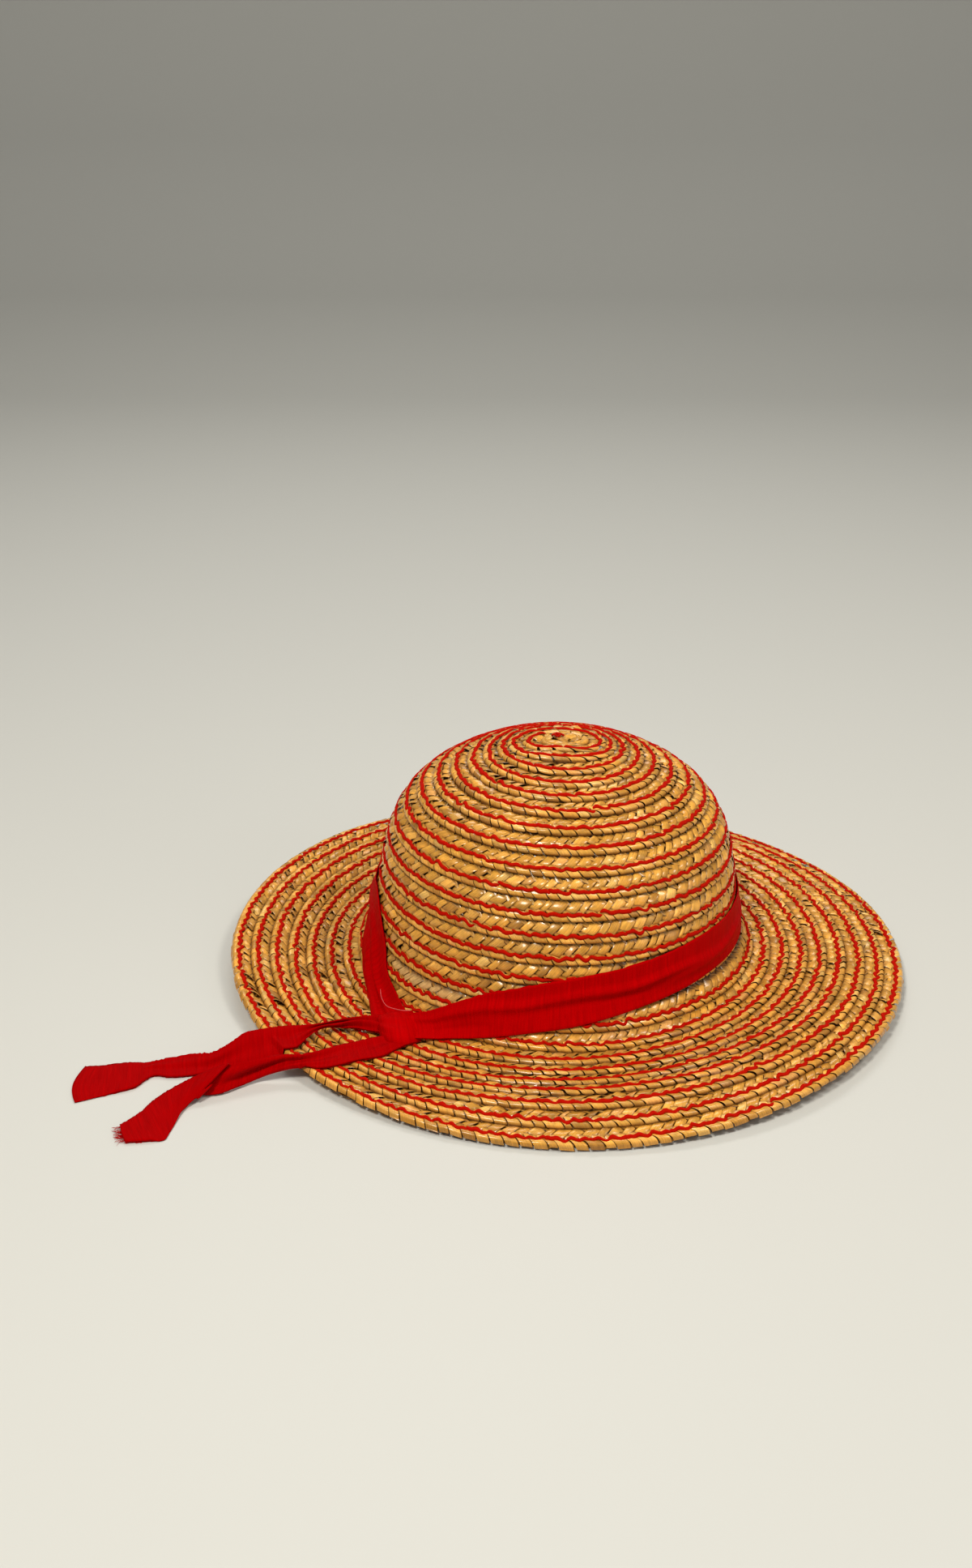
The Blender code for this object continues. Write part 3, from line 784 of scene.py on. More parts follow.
def weave_inside(straws, row, turns, wide):
    """Lay the straws that the row shows on the hat's inner side, where each row covers the one before."""
    count = len(turns)
    turns = turns[:, None, None]
    wide = wide[:, None, None]
    lift = scatter(count, 0.00008)
    for lean, first, last, sink in ((1, 0.0015, 0.0092, 0.0), (-1, 0.0078, 0.0140, 0.0002)):
        a, b = cell_grid(PLAIN_ENDS, PLAIN_SIDES)
        inward = first + (last - first) * a + 0.0010 * b * lean
        along = lean * INSIDE_LEAN * (a - 0.5) + (CELL_LENGTH * wide + 0.0001) / 2 * b
        deep = INSIDE_FACE + INSIDE_TILT * inward / 0.014 - sink + 0.00026 * (1 - b**4) + lift
        points = row.lay(turns, along, inward, -deep + 0 * along)
        # Painted shade at the straws' sides and ends
        tone = tinted(straw_tones(count, 0.92), painted_edge_shade(a, b))
        straws.add(points, tone, fibre_places(a, b, 0.0066, 0.0050, count))


def stitch_inside(straws, row, turns, lengths):
    """The thread's straight runs on the inner side."""
    a, side = np.meshgrid(np.linspace(0, 1, 5), np.linspace(0, 1, 4), indexing="ij")
    a, side = a[None], side[None]
    turns = turns[:, None, None]
    lengths = lengths[:, None, None]
    angle = math.pi * side
    inward = INSIDE_THREAD + scatter(len(lengths), 0.0002) + np.cos(angle) * 0.0006
    deep = INSIDE_FACE + INSIDE_TILT + 0.0002 + np.sin(angle) * 0.0006 - 0.0008 * np.abs(2 * a - 1) ** 6
    points = row.lay(turns, (a - 0.5) * (lengths - 0.0026), inward + 0 * a, -deep + 0 * inward)
    fibre = np.stack([a * lengths + side * 0.0009, side + 0 * lengths * a, 0 * a * lengths], axis=-1)
    straws.add(points, np.ones(3), fibre, flip=True)


for name, row, cells in (("crown_inside", crown_row, crown_cells), ("brim_inside", brim_row, brim_cells)):
    straws = Straws()
    weave_inside(straws, row, cells[:, 0], cells[:, 1])
    straws.build(name, straw)
    straws = Straws()
    stitch_inside(straws, row, *shown_stitches(row))
    straws.build(name + "_thread", thread_red)


LINING_INNER_TONE = (0.55, 0.36, 0.13)
LINING_SHEETS = (
    dict(depth=0.0016, lowest=0.0018, flip=True),
    dict(depth=0.0024, lowest=0.0013, flip=False),
)


def backing(name, first, last, tone):
    """The plain straw sheet under the plait: its outer face, dark as painted shade seen through the gaps
    between straws, and its inner one.
    """
    azimuth, share = np.meshgrid(np.linspace(0, 360, 91), np.linspace(0, 1, 40), indexing="ij")
    low, high = first(azimuth), last(azimuth)
    station = low + (high - low) * share
    fibre = np.stack([azimuth * 0.0017, station, 0 * station], axis=-1)
    straws = Straws()
    for sheet, colour in zip(LINING_SHEETS, (tone, LINING_INNER_TONE)):
        points = on_hat(azimuth, station, -sheet["depth"] + 0 * station, sheet["lowest"])
        straws.add(points[None], np.array(colour), fibre[None], flip=sheet["flip"])
    return straws.build(name, straw)


def crown_start(azimuth):
    return 0.0002 + 0 * azimuth


def crown_foot(azimuth):
    return CROWN_RUN + 0 * azimuth


def brim_stop(azimuth):
    return CROWN_RUN + brim_run(azimuth) - 0.0020


# The outer faces' dark tones are painted shade that shows through the gaps between the straws
crown_back = backing("crown_lining", crown_start, crown_foot, (0.13, 0.056, 0.017))
brim_back = backing("brim_lining", crown_foot, brim_stop, (0.28, 0.13, 0.04))
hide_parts("crown")
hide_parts("brim")

# The crown's middle: straws folded over it, and the thread's small knot
BUTTON_STRAWS = (
    dict(x=0.0004, y=0.0062, turn=8, length=0.0150, width=0.0042, high=0.0011),
    dict(x=-0.0046, y=0.0016, turn=104, length=0.0125, width=0.0045, high=0.0014),
    dict(x=0.0050, y=0.0008, turn=72, length=0.0125, width=0.0042, high=0.0013),
    dict(x=0.0006, y=-0.0036, turn=172, length=0.0140, width=0.0046, high=0.0017),
    dict(x=-0.0014, y=0.0022, turn=38, length=0.0130, width=0.0042, high=0.0021),
    dict(x=0.0022, y=-0.0006, turn=128, length=0.0110, width=0.0040, high=0.0023),
    dict(x=-0.0030, y=-0.0030, turn=152, length=0.0085, width=0.0036, high=0.0021),
)
BUTTON_KNOT = (
    dict(x=-0.0030, y=0.0002, high=0.0030),
    dict(x=-0.0016, y=0.0012, high=0.0036),
    dict(x=0.0002, y=0.0004, high=0.0038),
    dict(x=0.0012, y=-0.0008, high=0.0036),
    dict(x=-0.0002, y=-0.0018, high=0.0036),
    dict(x=-0.0014, y=-0.0006, high=0.0040),
    dict(x=-0.0004, y=0.0008, high=0.0042),
    dict(x=0.0020, y=0.0014, high=0.0034),
    dict(x=0.0036, y=0.0010, high=0.0026),
)


def crown_middle():
    """The place of the crown's middle, on top."""
    return on_hat(np.array(0.0), np.array(0.0003), np.array(0.0)) * np.array((0.0, 1.0, 1.0)) + np.array(
        (HAT_CENTRE_X + CROWN_OFFSET_X, 0.0, 0.0)
    )


def button_straws():
    """Short flat straws laid over each other on the crown's middle."""
    straws = Straws()
    a, b = cell_grid(np.linspace(0, 1, 11), np.linspace(-1, 1, 9))
    middle = crown_middle()
    for row in BUTTON_STRAWS:
        heading = math.radians(row["turn"])
        ahead = np.array((math.cos(heading), math.sin(heading)))
        aside = np.array((-ahead[1], ahead[0]))
        along = (a[0] - 0.5) * row["length"]
        bend = 0.0012 * np.sin(math.pi * a[0])
        across = b[0] * row["width"] / 2 * (1 - 0.25 * np.abs(2 * a[0] - 1) ** 3) + bend
        flat = along[..., None] * ahead + across[..., None] * aside + np.array((row["x"], row["y"]))
        rise = row["high"] + 0.00045 * (1 - b[0] ** 4) - 0.0020 * np.abs(2 * a[0] - 1) ** 4
        fall = 1.1 * (flat**2).sum(axis=-1) / 0.05
        points = np.concatenate([flat, (rise - fall)[..., None]], axis=-1) + middle
        # Painted shade at the straws' sides and ends
        tone = tinted(straw_tones(1, 1.0), painted_edge_shade(a, b))
        straws.add(points[None], tone, fibre_places(a, b, row["length"], row["width"], 1), flip=True)
    return straws.build("crown_button", straw)


def tube(points, radius, sides=8):
    """A round thread through points."""
    ahead = np.gradient(points, axis=0)
    ahead /= np.linalg.norm(ahead, axis=1, keepdims=True)
    aside = np.cross(ahead, np.array((0.0, 0.0, 1.0)))
    aside /= np.linalg.norm(aside, axis=1, keepdims=True) + 1e-9
    over = np.cross(aside, ahead)
    angle = np.linspace(0, 2 * math.pi, sides + 1)
    ring = np.cos(angle)[None, :, None] * aside[:, None] + np.sin(angle)[None, :, None] * over[:, None]
    return points[:, None] + radius * ring


button_straws()
knot_path = np.stack([spread(BUTTON_KNOT, column, 70) for column in ("x", "y", "high")], axis=-1)
knot_path = knot_path + crown_middle()
straws = Straws()
knot_tube = tube(knot_path, 0.00062)
places = np.stack(np.meshgrid(np.linspace(0, 0.03, 70), np.linspace(0, 0.004, 9), indexing="ij"), axis=-1)
straws.add(knot_tube[None], np.ones(3), np.concatenate([places, 0 * places[..., :1]], axis=-1)[None])
straws.build("button_knot", thread_red)

# Ribbon

CAMERA_PLACE = (HAT_CENTRE_X - 0.0444, -0.7941, 0.4619)
CAMERA_PITCH = 24.36
FOCAL_PIXELS = 2000.0
PICTURE_MIDDLE = (600.0, 967.5)
# The cloth's width is from the ribbon's cut ends, and each length is the middle line of its route
RIBBON_FLAT_WIDTH = 0.030
RIBBON_THICKNESS = 0.0004
SHOWN_COLUMNS = 17
UNDER_COLUMNS = 8
FOLD_ROUND = 0.0002
LEAST_TURNED = 0.0012
# Tone of the loose ends: painted shade, darker than the band
LOOSE_END_SHADE_TONE = 0.8
FOLD_STRENGTH = 1.35
DEEPEST_FOLD = -0.0008

# The band from its end under the knot, round the crown and back: its two edges and how proud they stand
BAND_ROUTE = (
    dict(top_at=219.5, top_down=1.41, top_proud=3.6, low_at=224.3, low_down=1.72, low_proud=3.2),
    dict(top_at=220.5, top_down=1.30, top_proud=4.6, low_at=226.5, low_down=1.70, low_proud=4.2),
    dict(top_at=222.7, top_down=1.11, top_proud=5.2, low_at=229.8, low_down=1.63, low_proud=4.8),
    dict(top_at=225.6, top_down=0.90, top_proud=4.9, low_at=232.4, low_down=1.49, low_proud=4.4),
    dict(top_at=229.3, top_down=0.69, top_proud=4.4, low_at=234.9, low_down=1.34, low_proud=3.9),
    dict(top_at=233.3, top_down=0.50, top_proud=3.8, low_at=237.9, low_down=1.19, low_proud=3.3),
    dict(top_at=238.2, top_down=0.25, top_proud=3.0, low_at=241.4, low_down=1.03, low_proud=2.8),
    dict(top_at=248.5, top_down=-0.15, top_proud=2.5, low_at=249.7, low_down=0.80, low_proud=2.4),
    dict(top_at=260, top_down=-0.42, top_proud=2.2, low_at=260, low_down=0.58, low_proud=2.2),
    dict(top_at=271, top_down=-0.60, top_proud=2.2, low_at=271, low_down=0.42, low_proud=2.2),
    dict(top_at=293, top_down=-0.79, top_proud=2.2, low_at=293, low_down=0.16, low_proud=2.2),
    dict(top_at=318, top_down=-0.90, top_proud=2.2, low_at=317, low_down=0.04, low_proud=2.2),
    dict(top_at=335, top_down=-0.88, top_proud=2.2, low_at=334, low_down=0.05, low_proud=2.2),
    *(dict(top_at=at, top_down=-0.88, top_proud=2.2, low_at=at, low_down=0.08, low_proud=2.2)
      for at in range(365, 486, 30)),
    dict(top_at=515, top_down=-0.88, top_proud=2.2, low_at=512, low_down=0.05, low_proud=2.2),
    dict(top_at=541, top_down=-0.86, top_proud=2.2, low_at=535, low_down=0.04, low_proud=2.4),
    dict(top_at=547, top_down=-0.91, top_proud=2.2, low_at=544, low_down=0.14, low_proud=2.6),
    dict(top_at=552, top_down=-0.88, top_proud=2.2, low_at=549, low_down=0.36, low_proud=2.6),
    dict(top_at=558.5, top_down=-0.62, top_proud=2.2, low_at=554, low_down=0.58, low_proud=2.4),
    dict(top_at=565, top_down=-0.20, top_proud=2.2, low_at=560, low_down=0.82, low_proud=2.2),
    dict(top_at=570.5, top_down=0.24, top_proud=2.2, low_at=567, low_down=1.02, low_proud=2.0),
    dict(top_at=577, top_down=0.54, top_proud=2.0, low_at=573, low_down=1.24, low_proud=1.8),
    dict(top_at=582.5, top_down=0.77, top_proud=1.9, low_at=576.5, low_down=1.40, low_proud=1.8),
    dict(top_at=587, top_down=0.92, top_proud=1.8, low_at=579, low_down=1.54, low_proud=1.8),
)

# Soft folds along the band: where each runs, in azimuth and in share from the upper edge, and its height
BAND_FOLDS = (
    dict(first=222, last=268, start=0.22, stop=0.40, height=0.0014, width=0.102),
    dict(first=224, last=252, start=0.62, stop=0.74, height=-0.0006, width=0.068),
    dict(first=250, last=326, start=0.36, stop=0.56, height=0.0016, width=0.076),
    dict(first=262, last=300, start=0.58, stop=0.66, height=-0.0007, width=0.051),
    dict(first=272, last=292, start=0.44, stop=0.47, height=-0.0005, width=0.034),
    dict(first=300, last=372, start=0.72, stop=0.50, height=0.0014, width=0.102),
    dict(first=352, last=430, start=0.30, stop=0.52, height=0.0014, width=0.085),
    dict(first=405, last=470, start=0.66, stop=0.60, height=-0.0006, width=0.068),
    dict(first=448, last=520, start=0.40, stop=0.28, height=0.0015, width=0.085),
    dict(first=500, last=562, start=0.60, stop=0.44, height=0.0014, width=0.085),
    dict(first=546, last=592, start=0.72, stop=0.66, height=-0.0008, width=0.060),
    dict(first=548, last=592, start=0.50, stop=0.52, height=0.0018, width=0.085),
    dict(first=556, last=592, start=0.86, stop=0.84, height=0.0014, width=0.060),
)

# The knot's wrap, from where it lies on the band to its lip: pixels of its two edges, and heights in mm
KNOT_WRAP = (
    dict(far_x=512, far_y=1246, far_high=9.0, near_x=520, near_y=1280, near_high=5.5, bulge=0.0),
    dict(far_x=503, far_y=1245, far_high=11.0, near_x=512, near_y=1282, near_high=7.0, bulge=0.9),
    dict(far_x=493, far_y=1246, far_high=11.5, near_x=501, near_y=1285, near_high=7.4, bulge=2.2),
    dict(far_x=483, far_y=1248, far_high=10.5, near_x=490, near_y=1286, near_high=7.0, bulge=3.0),
    dict(far_x=474, far_y=1250.5, far_high=9.5, near_x=480, near_y=1284, near_high=6.8, bulge=3.0),
    dict(far_x=468, far_y=1253, far_high=8.6, near_x=474, near_y=1280, near_high=6.6, bulge=2.2),
    dict(far_x=464, far_y=1257, far_high=7.6, near_x=470, near_y=1276, near_high=6.4, bulge=0.8),
)

# The loose ends from the knot out: pixels of their far and near edges, and heights in mm
UPPER_END = (
    dict(far_x=480, far_y=1252, far_high=7.5, near_x=482, near_y=1272, near_high=6.0, fold=0.8),
    dict(far_x=466, far_y=1253, far_high=8.5, near_x=468, near_y=1272.5, near_high=6.2, fold=1.4),
    dict(far_x=452, far_y=1253.5, far_high=9.0, near_x=452, near_y=1270, near_high=6.5, fold=2.0),
    dict(far_x=438, far_y=1255, far_high=9.5, near_x=438, near_y=1267.5, near_high=7.0, fold=2.2),
    dict(far_x=420, far_y=1258, far_high=10.5, near_x=418, near_y=1268, near_high=7.5, fold=2.2),
    dict(far_x=400, far_y=1262, far_high=11.5, near_x=400, near_y=1269, near_high=9.5, fold=1.9),
    dict(far_x=383, far_y=1264.5, far_high=12.5, near_x=386, near_y=1275, near_high=10.0, fold=1.2),
    dict(far_x=364, far_y=1265.5, far_high=13.5, near_x=369, near_y=1289, near_high=9.8, fold=0.7),
    dict(far_x=345, far_y=1266.5, far_high=13.5, near_x=350, near_y=1301, near_high=7.0, fold=0.5),
    dict(far_x=325, far_y=1269.5, far_high=13.0, near_x=327, near_y=1309, near_high=4.5, fold=0.4),
    dict(far_x=303, far_y=1274, far_high=12.0, near_x=303, near_y=1315, near_high=2.5, fold=0.5),
    dict(far_x=285, far_y=1286, far_high=9.5, near_x=282, near_y=1317, near_high=1.5, fold=0.6),
    dict(far_x=263, far_y=1298, far_high=6.5, near_x=260, near_y=1323, near_high=1.0, fold=0.8),
    dict(far_x=241, far_y=1300, far_high=5.0, near_x=240, near_y=1328, near_high=0.6, fold=0.8),
    dict(far_x=209, far_y=1305, far_high=3.4, near_x=212, near_y=1330.5, near_high=0.5, fold=0.8),
    dict(far_x=192, far_y=1309, far_high=2.6, near_x=191, near_y=1328.5, near_high=0.6, fold=0.9),
    dict(far_x=179, far_y=1311.5, far_high=1.8, near_x=178, near_y=1335, near_high=0.5, fold=0.7),
    dict(far_x=165, far_y=1312.5, far_high=1.2, near_x=164, near_y=1344, near_high=0.4, fold=0.4),
    dict(far_x=135, far_y=1314.5, far_high=0.7, near_x=130, near_y=1352, near_high=0.4, fold=0.2),
    dict(far_x=105, far_y=1316.5, far_high=0.5, near_x=92, near_y=1361, near_high=0.4, fold=0.1),
)
LOWER_END = (
    dict(far_x=505, far_y=1274, far_high=7.0, near_x=513, near_y=1280, near_high=6.5, fold=0.2),
    dict(far_x=494, far_y=1275, far_high=6.8, near_x=503, near_y=1287, near_high=6.0, fold=0.4),
    dict(far_x=480, far_y=1277.5, far_high=6.8, near_x=489, near_y=1294, near_high=5.2, fold=0.7),
    dict(far_x=462, far_y=1280, far_high=6.8, near_x=470, near_y=1305, near_high=4.9, fold=0.9),
    dict(far_x=440, far_y=1285, far_high=7.2, near_x=445, near_y=1311, near_high=4.9, fold=0.9),
    dict(far_x=419, far_y=1289.5, far_high=8.4, near_x=418, near_y=1315.5, near_high=7.0, fold=1.0),
    dict(far_x=396, far_y=1296, far_high=10.5, near_x=394, near_y=1318.5, near_high=8.4, fold=1.3),
    dict(far_x=372, far_y=1301, far_high=12.5, near_x=372, near_y=1317.5, near_high=8.4, fold=1.7),
    dict(far_x=350, far_y=1301.5, far_high=13.0, near_x=350, near_y=1321, near_high=6.5, fold=1.7),
    dict(far_x=326, far_y=1306, far_high=13.0, near_x=320, near_y=1330.5, near_high=2.6, fold=1.8),
    dict(far_x=309, far_y=1309, far_high=13.0, near_x=296, near_y=1341.5, near_high=0.8, fold=1.8),
    dict(far_x=295, far_y=1311.5, far_high=13.0, near_x=272, near_y=1351.5, near_high=0.5, fold=1.5),
    dict(far_x=286, far_y=1312, far_high=12.5, near_x=251, near_y=1353, near_high=0.5, fold=0.9),
    dict(far_x=281, far_y=1313, far_high=12.0, near_x=242, near_y=1351, near_high=1.2, fold=0.3),
    dict(far_x=283, far_y=1312.5, far_high=13.5, near_x=249, near_y=1347, near_high=4.2, fold=0.0),
    dict(far_x=280, far_y=1313, far_high=14.2, near_x=244, near_y=1352, near_high=3.9, fold=0.1),
    dict(far_x=270, far_y=1316, far_high=12.5, near_x=238, near_y=1358, near_high=2.8, fold=0.2),
    dict(far_x=255, far_y=1322, far_high=9.5, near_x=230, near_y=1365, near_high=1.8, fold=0.3),
    dict(far_x=237, far_y=1330, far_high=6.0, near_x=224, near_y=1373, near_high=1.0, fold=0.4),
    dict(far_x=214, far_y=1342, far_high=3.2, near_x=217, near_y=1385, near_high=0.6, fold=0.4),
    dict(far_x=194, far_y=1354.5, far_high=1.6, near_x=209, near_y=1398, near_high=0.5, fold=0.3),
    dict(far_x=181, far_y=1365, far_high=0.9, near_x=202, near_y=1407, near_high=0.5, fold=0.3),
    dict(far_x=169, far_y=1378, far_high=0.6, near_x=184, near_y=1409, near_high=0.5, fold=0.2),
    dict(far_x=148, far_y=1391, far_high=0.5, near_x=155, near_y=1411, near_high=0.5, fold=0.1),
)


def strip(name, points, tone=1.0):
    """A ribbon through a grid of points, along it by across it, with its fibres in step with its cloth."""
    straws = Straws()
    steps = np.linalg.norm(np.diff(points[:, SHOWN_COLUMNS // 2], axis=0), axis=1)
    along = np.concatenate([[0.0], np.cumsum(steps)])[:, None]
    steps = np.linalg.norm(np.diff(points, axis=1), axis=2)
    across = np.concatenate([0 * along, np.cumsum(steps, axis=1)], axis=1)
    fibre = np.stack([along + 0 * across, across, 0 * across], axis=-1)
    straws.add(points[None], tone * np.ones(3), fibre[None])
    piece = straws.build(name, ribbon_red)
    wall = piece.modifiers.new("cloth", "SOLIDIFY")
    wall.thickness = RIBBON_THICKNESS
    wall.offset = 0.0
    return piece


def toothed(points, size=0.00016):
    """The same points with their two outer edges a little uneven."""
    out = points[:, -1] - points[:, 0]
    out /= np.linalg.norm(out, axis=1, keepdims=True)
    for edge, way in ((0, -1), (-1, 1)):
        points[:, edge] += way * out * (size * random.standard_normal(len(points)))[:, None]
    return points


def folded_across(far, near, gap):
    """Across each row between two edges: shares of what shows, depths below it, and the width turned under.

    The cloth keeps its width. What the two edges leave over is turned under at the near edge and back.
    """
    width = np.linalg.norm(near - far, axis=1)[:, None]
    turned = np.clip((RIBBON_FLAT_WIDTH - width) / 2, LEAST_TURNED, width)
    shown = np.linspace(0, 1, SHOWN_COLUMNS)
    under = np.linspace(0, 1, UNDER_COLUMNS)
    inside = turned - 2 * FOLD_ROUND
    across = [
        (width - FOLD_ROUND) * shown,
        width,
        width - FOLD_ROUND - inside * under,
        width - turned,
        width - turned + FOLD_ROUND + inside * under,
    ]
    layer = np.concatenate([0 * shown, [0.5], 1 + 0 * under, [1.5], 2 + 0 * under])
    room = gap * (0.15 + 0.85 * ease(turned, LEAST_TURNED, 0.004))
    return np.clip(np.concatenate(across, axis=1) / width, 0, 1), layer * room, (2 - layer) * room


def band_folds(azimuth, share):
    """Height of the band's folds at azimuths and shares from its upper edge."""
    height = 0 * share * azimuth
    for fold in BAND_FOLDS:
        along = np.clip((azimuth - fold["first"]) / (fold["last"] - fold["first"]), 0, 1)
        middle = fold["start"] + (fold["stop"] - fold["start"]) * along + 0.03 * np.sin(azimuth / 5.0)
        strength = np.sin(math.pi * along) ** 0.7
        tall = np.maximum(fold["height"] * FOLD_STRENGTH, DEEPEST_FOLD)
        height = height + tall * strength * np.exp(-(((share - middle) / fold["width"]) ** 2))
    return height


def band_points(count=360):
    """Points of the band round the crown's foot."""
    route = {column: spread(BAND_ROUTE, column, count)[:, None] for column in BAND_ROUTE[0]}
    azimuth = (route["top_at"] + route["low_at"]) / 2
    edges = []
    for edge in ("top", "low"):
        station = CROWN_RUN + route[edge + "_down"] * RIBBON_WIDTH
        edges.append((route[edge + "_at"] % 360.0, station, route[edge + "_proud"] / 1000 + 0.0004))
    ends = [on_hat(turn, station, proud) for turn, station, proud in edges]
    share, down, _ = folded_across(ends[0][:, 0], ends[1][:, 0], 0.0005)
    folds = band_folds(azimuth, share) - down
    straight = ends[0] * (1 - share[..., None]) + ends[1] * share[..., None]
    # Between its edges the band keeps off the crown's foot, which bends outward there
    azimuth = edges[0][0] * (1 - share) + edges[1][0] * share
    station = edges[0][1] * (1 - share) + edges[1][1] * share
    under = on_hat(azimuth, station, edges[0][2] * (1 - share) + edges[1][2] * share + folds)
    near = on_hat(azimuth, station, 0 * share)
    normal = under - near
    normal /= np.linalg.norm(normal, axis=2, keepdims=True)
    slack = 0.5 * ease(np.linalg.norm(straight - under, axis=2), 0.0, 0.006)[..., None]
    return toothed(under * (1 - slack) + (straight + normal * folds[..., None]) * slack)


def seen(across, down, height):
    """The point at a height above the table that the photograph shows at a pixel."""
    pitch = math.radians(CAMERA_PITCH)
    right = (across - PICTURE_MIDDLE[0]) / FOCAL_PIXELS
    up = (PICTURE_MIDDLE[1] - down) / FOCAL_PIXELS
    ahead = math.cos(pitch) + up * math.sin(pitch)
    rise = up * math.cos(pitch) - math.sin(pitch)
    way = np.stack([right, ahead, rise], axis=-1)
    reach = (height - CAMERA_PLACE[2]) / way[..., 2]
    return np.array(CAMERA_PLACE) + way * reach[..., None]


def resting_height(points):
    """Height of what lies below points: the plait's face or the table."""
    x, y = points[..., 0] - HAT_CENTRE_X, points[..., 1]
    away = np.hypot(x, y)
    x, y = x - CROWN_OFFSET_X, y - CROWN_OFFSET_Y
    azimuth = np.degrees(np.arctan2(y, x)) % 360.0
    out = np.maximum(np.hypot(x, y) - CROWN_FOOT_RADIUS, 0.0)
    plate = wave_height(azimuth, out / (edge_radius(azimuth) - CROWN_FOOT_RADIUS))
    face = plate + (CROWN_FOOT_HEIGHT - plate) * np.exp(-out / FLARE_LENGTH)
    return np.where(away > BRIM_RADIUS + 0.0005, 0.0004, face + 0.0017)


def ribbon_edges(route, count):
    """The two edges of a stretch of ribbon, from its pixels and heights."""
    path = {column: spread(route, column, count) for column in route[0]}
    edges = []
    for edge in ("far", "near"):
        edges.append(seen(path[edge + "_x"], path[edge + "_y"], path[edge + "_high"] / 1000))
    return edges, path


def end_points(route, count, waves, bow):
    """Points of a loose end of the ribbon, turned under where it is narrow."""
    (far, near), path = ribbon_edges(route, count)
    share, down, above = folded_across(far, near, 0.0007)
    points = far[:, None] + (near - far)[:, None] * share[..., None]
    along = np.gradient(points, axis=0)
    aside = (near - far)[:, None]
    normal = np.cross(aside, along)
    normal /= np.linalg.norm(normal, axis=2, keepdims=True) + 1e-9
    normal *= np.sign(normal[..., 2:] + 1e-9)
    place = np.linspace(0, 1, count)[:, None]
    wave = np.sin(2 * math.pi * (waves * share + 0.35 * np.sin(5.0 * place + 1.0)))
    wave = wave * np.sin(math.pi * share) ** 0.6
    points = points + normal * (path["fold"][:, None] / 1000 * wave - down)[..., None]
    last = np.clip((place - 0.96) / 0.04, 0, 1)
    points = points + along / (np.linalg.norm(along, axis=2, keepdims=True) + 1e-9) * (
        bow * last * np.sin(math.pi * share)
    )[..., None]
    points[..., 2] = np.maximum(points[..., 2], resting_height(points) + above)
    return toothed(points)


def knot_points(count=60):
    """Points of the wrap that holds the knot, rounded and creased along its way."""
    (far, near), path = ribbon_edges(KNOT_WRAP, count)
    share, down, _ = folded_across(far, near, 0.0007)
    points = far[:, None] + (near - far)[:, None] * share[..., None]
    place = np.linspace(0, 1, count)[:, None]
    crease = 0.00075 * np.sin(2 * math.pi * (2.6 * share + 0.7 * place)) * np.sin(math.pi * share)
    rise = path["bulge"][:, None] / 1000 * np.sin(math.pi * share) ** 0.8 + crease * (0.4 + 0.6 * place)
    points = points + np.array((0.0, -0.35, 0.94)) * (rise - down)[..., None]
    # Its edges and its lip turn under
    turned = np.clip((np.abs(2 * share - 1) - 0.86) / 0.14, 0, 1) ** 2
    lip = np.clip((place - 0.9) / 0.1, 0, 1) ** 2
    points[..., 2] -= 0.0022 * turned * np.ones_like(place) + 0.0020 * lip
    return points


def frayed_threads(points, count, length):
    """Thin threads that stand out from a ribbon's last row."""
    last, before = points[-1], points[-3]
    straws = Straws()
    place = np.sort(random.random(count))
    column = place * (len(last) - 1)
    left = np.minimum(column.astype(int), len(last) - 2)
    part = (column - left)[:, None]
    root = last[left] * (1 - part) + last[left + 1] * part
    way = last[left] - before[left]
    way /= np.linalg.norm(way, axis=1, keepdims=True)
    aside = (last[-1] - last[0]) / np.linalg.norm(last[-1] - last[0])
    way = way + 0.5 * random.standard_normal((count, 1)) * aside
    reach = (length * (0.4 + 0.6 * random.random(count)))[:, None, None]
    step = np.linspace(-0.15, 1, 6)[None, :, None]
    spine = root[:, None] + way[:, None] * reach * step
    spine[..., 2] = 0.0005 + 0.0006 * random.random((count, 1)) * step[..., 0]
    half = 0.00013 * (1 - 0.6 * np.clip(step, 0, 1))
    sides = np.stack([spine - aside * half, spine + np.array((0, 0, 0.00016)), spine + aside * half], axis=2)
    # Painted shade tone, as on the loose ends
    straws.add(sides, LOOSE_END_SHADE_TONE * np.ones(3), np.zeros(3))
    return straws


# A pale loose thread on the band's left end: pixels and heights in mm
LOOSE_THREAD = (
    dict(x=459, y=1208, high=9.6),
    dict(x=464, y=1211, high=10.8),
    dict(x=469, y=1219, high=11.4),
    dict(x=471, y=1231, high=10.4),
    dict(x=477, y=1241, high=10.6),
    dict(x=487, y=1245, high=12.4),
    dict(x=498, y=1247, high=14.0),
    dict(x=507, y=1247, high=14.4),
)
path = {column: spread(LOOSE_THREAD, column, 60) for column in LOOSE_THREAD[0]}
straws = Straws()
straws.add(tube(seen(path["x"], path["y"], path["high"] / 1000), 0.00016, 6)[None], np.ones(3), np.zeros(3))
straws.build("loose_thread", loose_red)

band = strip("ribbon_round_crown", band_points())
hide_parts("ribbon_band")
knot = strip("ribbon_knot_wrap", knot_points())
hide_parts("ribbon_knot")
# The loose ends and their frayed threads carry the painted shade tone
upper_points = end_points(UPPER_END, 220, 1.6, 0.0035)
upper_end = strip("ribbon_end_upper", upper_points, LOOSE_END_SHADE_TONE)
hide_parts("ribbon_tail_upper")
lower_points = end_points(LOWER_END, 260, 1.3, 0.0005)
lower_end = strip("ribbon_end_lower", lower_points, LOOSE_END_SHADE_TONE)
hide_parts("ribbon_tail_lower")
fray = frayed_threads(lower_points[:, :SHOWN_COLUMNS], 46, 0.0042).build("ribbon_fray", ribbon_red)

# Surroundings

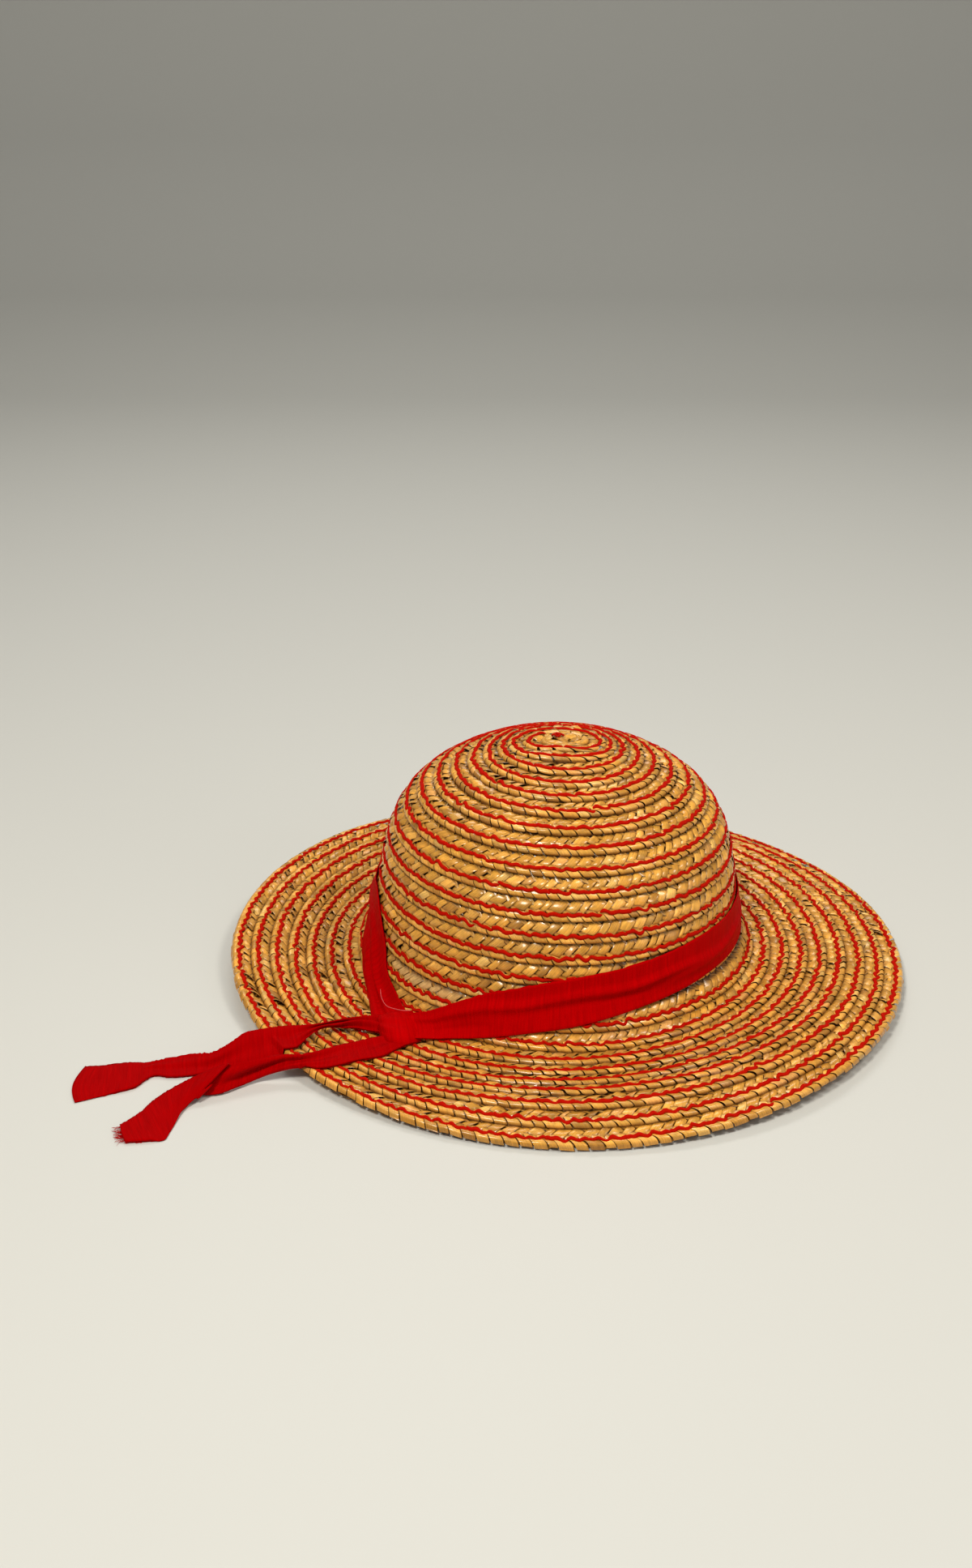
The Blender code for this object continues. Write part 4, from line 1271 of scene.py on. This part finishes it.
floor_material, floor_tree, floor_shader = new_material("pale_floor")
floor_shader.inputs["Base Color"].default_value = (0.655, 0.645, 0.585, 1)
floor_shader.inputs["Roughness"].default_value = 0.55


# The floor from front to back, as distances and heights
FLOOR_PROFILE = ((-9.0, 0.0), (1.6, 0.0), (2.2, 0.06), (2.6, 0.3), (2.8, 0.8), (2.85, 3.0))
FLOOR_HALF_WIDTH = 9.0
LIGHT_TARGET = (0.0, 0.0, 0.05)
WARM = (1.0, 0.97, 0.92)
WHITE = (1.0, 1.0, 1.0)
LAMPS = (
    dict(name="key", place=(-0.45, -0.85, 1.45), size=(0.35, 0.35), energy=17.0, colour=WARM),
    dict(name="side", place=(0.9, -0.35, 1.5), size=(0.4, 0.4), energy=9.0, colour=WARM),
    dict(name="back", place=(-0.1, 1.1, 1.5), size=(0.9, 0.4), energy=7.0, colour=WHITE),
    dict(name="fill", place=(1.4, -0.8, 0.8), size=(0.9, 0.8), energy=3.0, colour=WHITE),
)


def make_floor():
    """A pale floor that curves up behind."""
    points = [(x, y, z) for y, z in FLOOR_PROFILE for x in (-FLOOR_HALF_WIDTH, FLOOR_HALF_WIDTH)]
    faces = [(2 * i, 2 * i + 1, 2 * i + 3, 2 * i + 2) for i in range(len(FLOOR_PROFILE) - 1)]
    mesh = bpy.data.meshes.new("floor")
    mesh.from_pydata(points, [], faces)
    mesh.shade_smooth()
    mesh.materials.append(floor_material)
    made = bpy.data.objects.new("floor", mesh)
    bpy.context.scene.collection.objects.link(made)


def direction(way):
    """Turns that point a lamp along a way."""
    flat = math.hypot(way[0], way[1])
    return (math.atan2(flat, -way[2]), 0.0, math.atan2(way[1], way[0]) - math.pi / 2)


def add_light(row):
    """A soft lamp that points at the hat."""
    lamp = bpy.data.lights.new(row["name"], "AREA")
    lamp.shape = "RECTANGLE"
    lamp.size, lamp.size_y = row["size"]
    lamp.energy = row["energy"]
    lamp.color = row["colour"]
    made = bpy.data.objects.new(row["name"], lamp)
    made.location = row["place"]
    made.rotation_euler = direction(np.array(LIGHT_TARGET) - np.array(row["place"]))
    bpy.context.scene.collection.objects.link(made)


make_floor()
for row in LAMPS:
    add_light(row)

world = bpy.data.worlds.new("studio")
world.use_nodes = True
world.node_tree.nodes["Background"].inputs["Color"].default_value = (1, 1, 1, 1)
world.node_tree.nodes["Background"].inputs["Strength"].default_value = 0.24
bpy.context.scene.world = world

# Camera: the photograph's place, 24 degrees above the hat and close to it
camera_data = bpy.data.cameras.new("camera")
camera_data.sensor_fit = "VERTICAL"
camera_data.sensor_height = 36.0
camera_data.lens = 37.2
camera = bpy.data.objects.new("camera", camera_data)
camera.location = CAMERA_PLACE
camera.rotation_euler = (math.radians(90 - CAMERA_PITCH), 0.0, 0.0)
bpy.context.scene.collection.objects.link(camera)
bpy.context.scene.camera = camera
bpy.context.scene.view_settings.view_transform = "Standard"
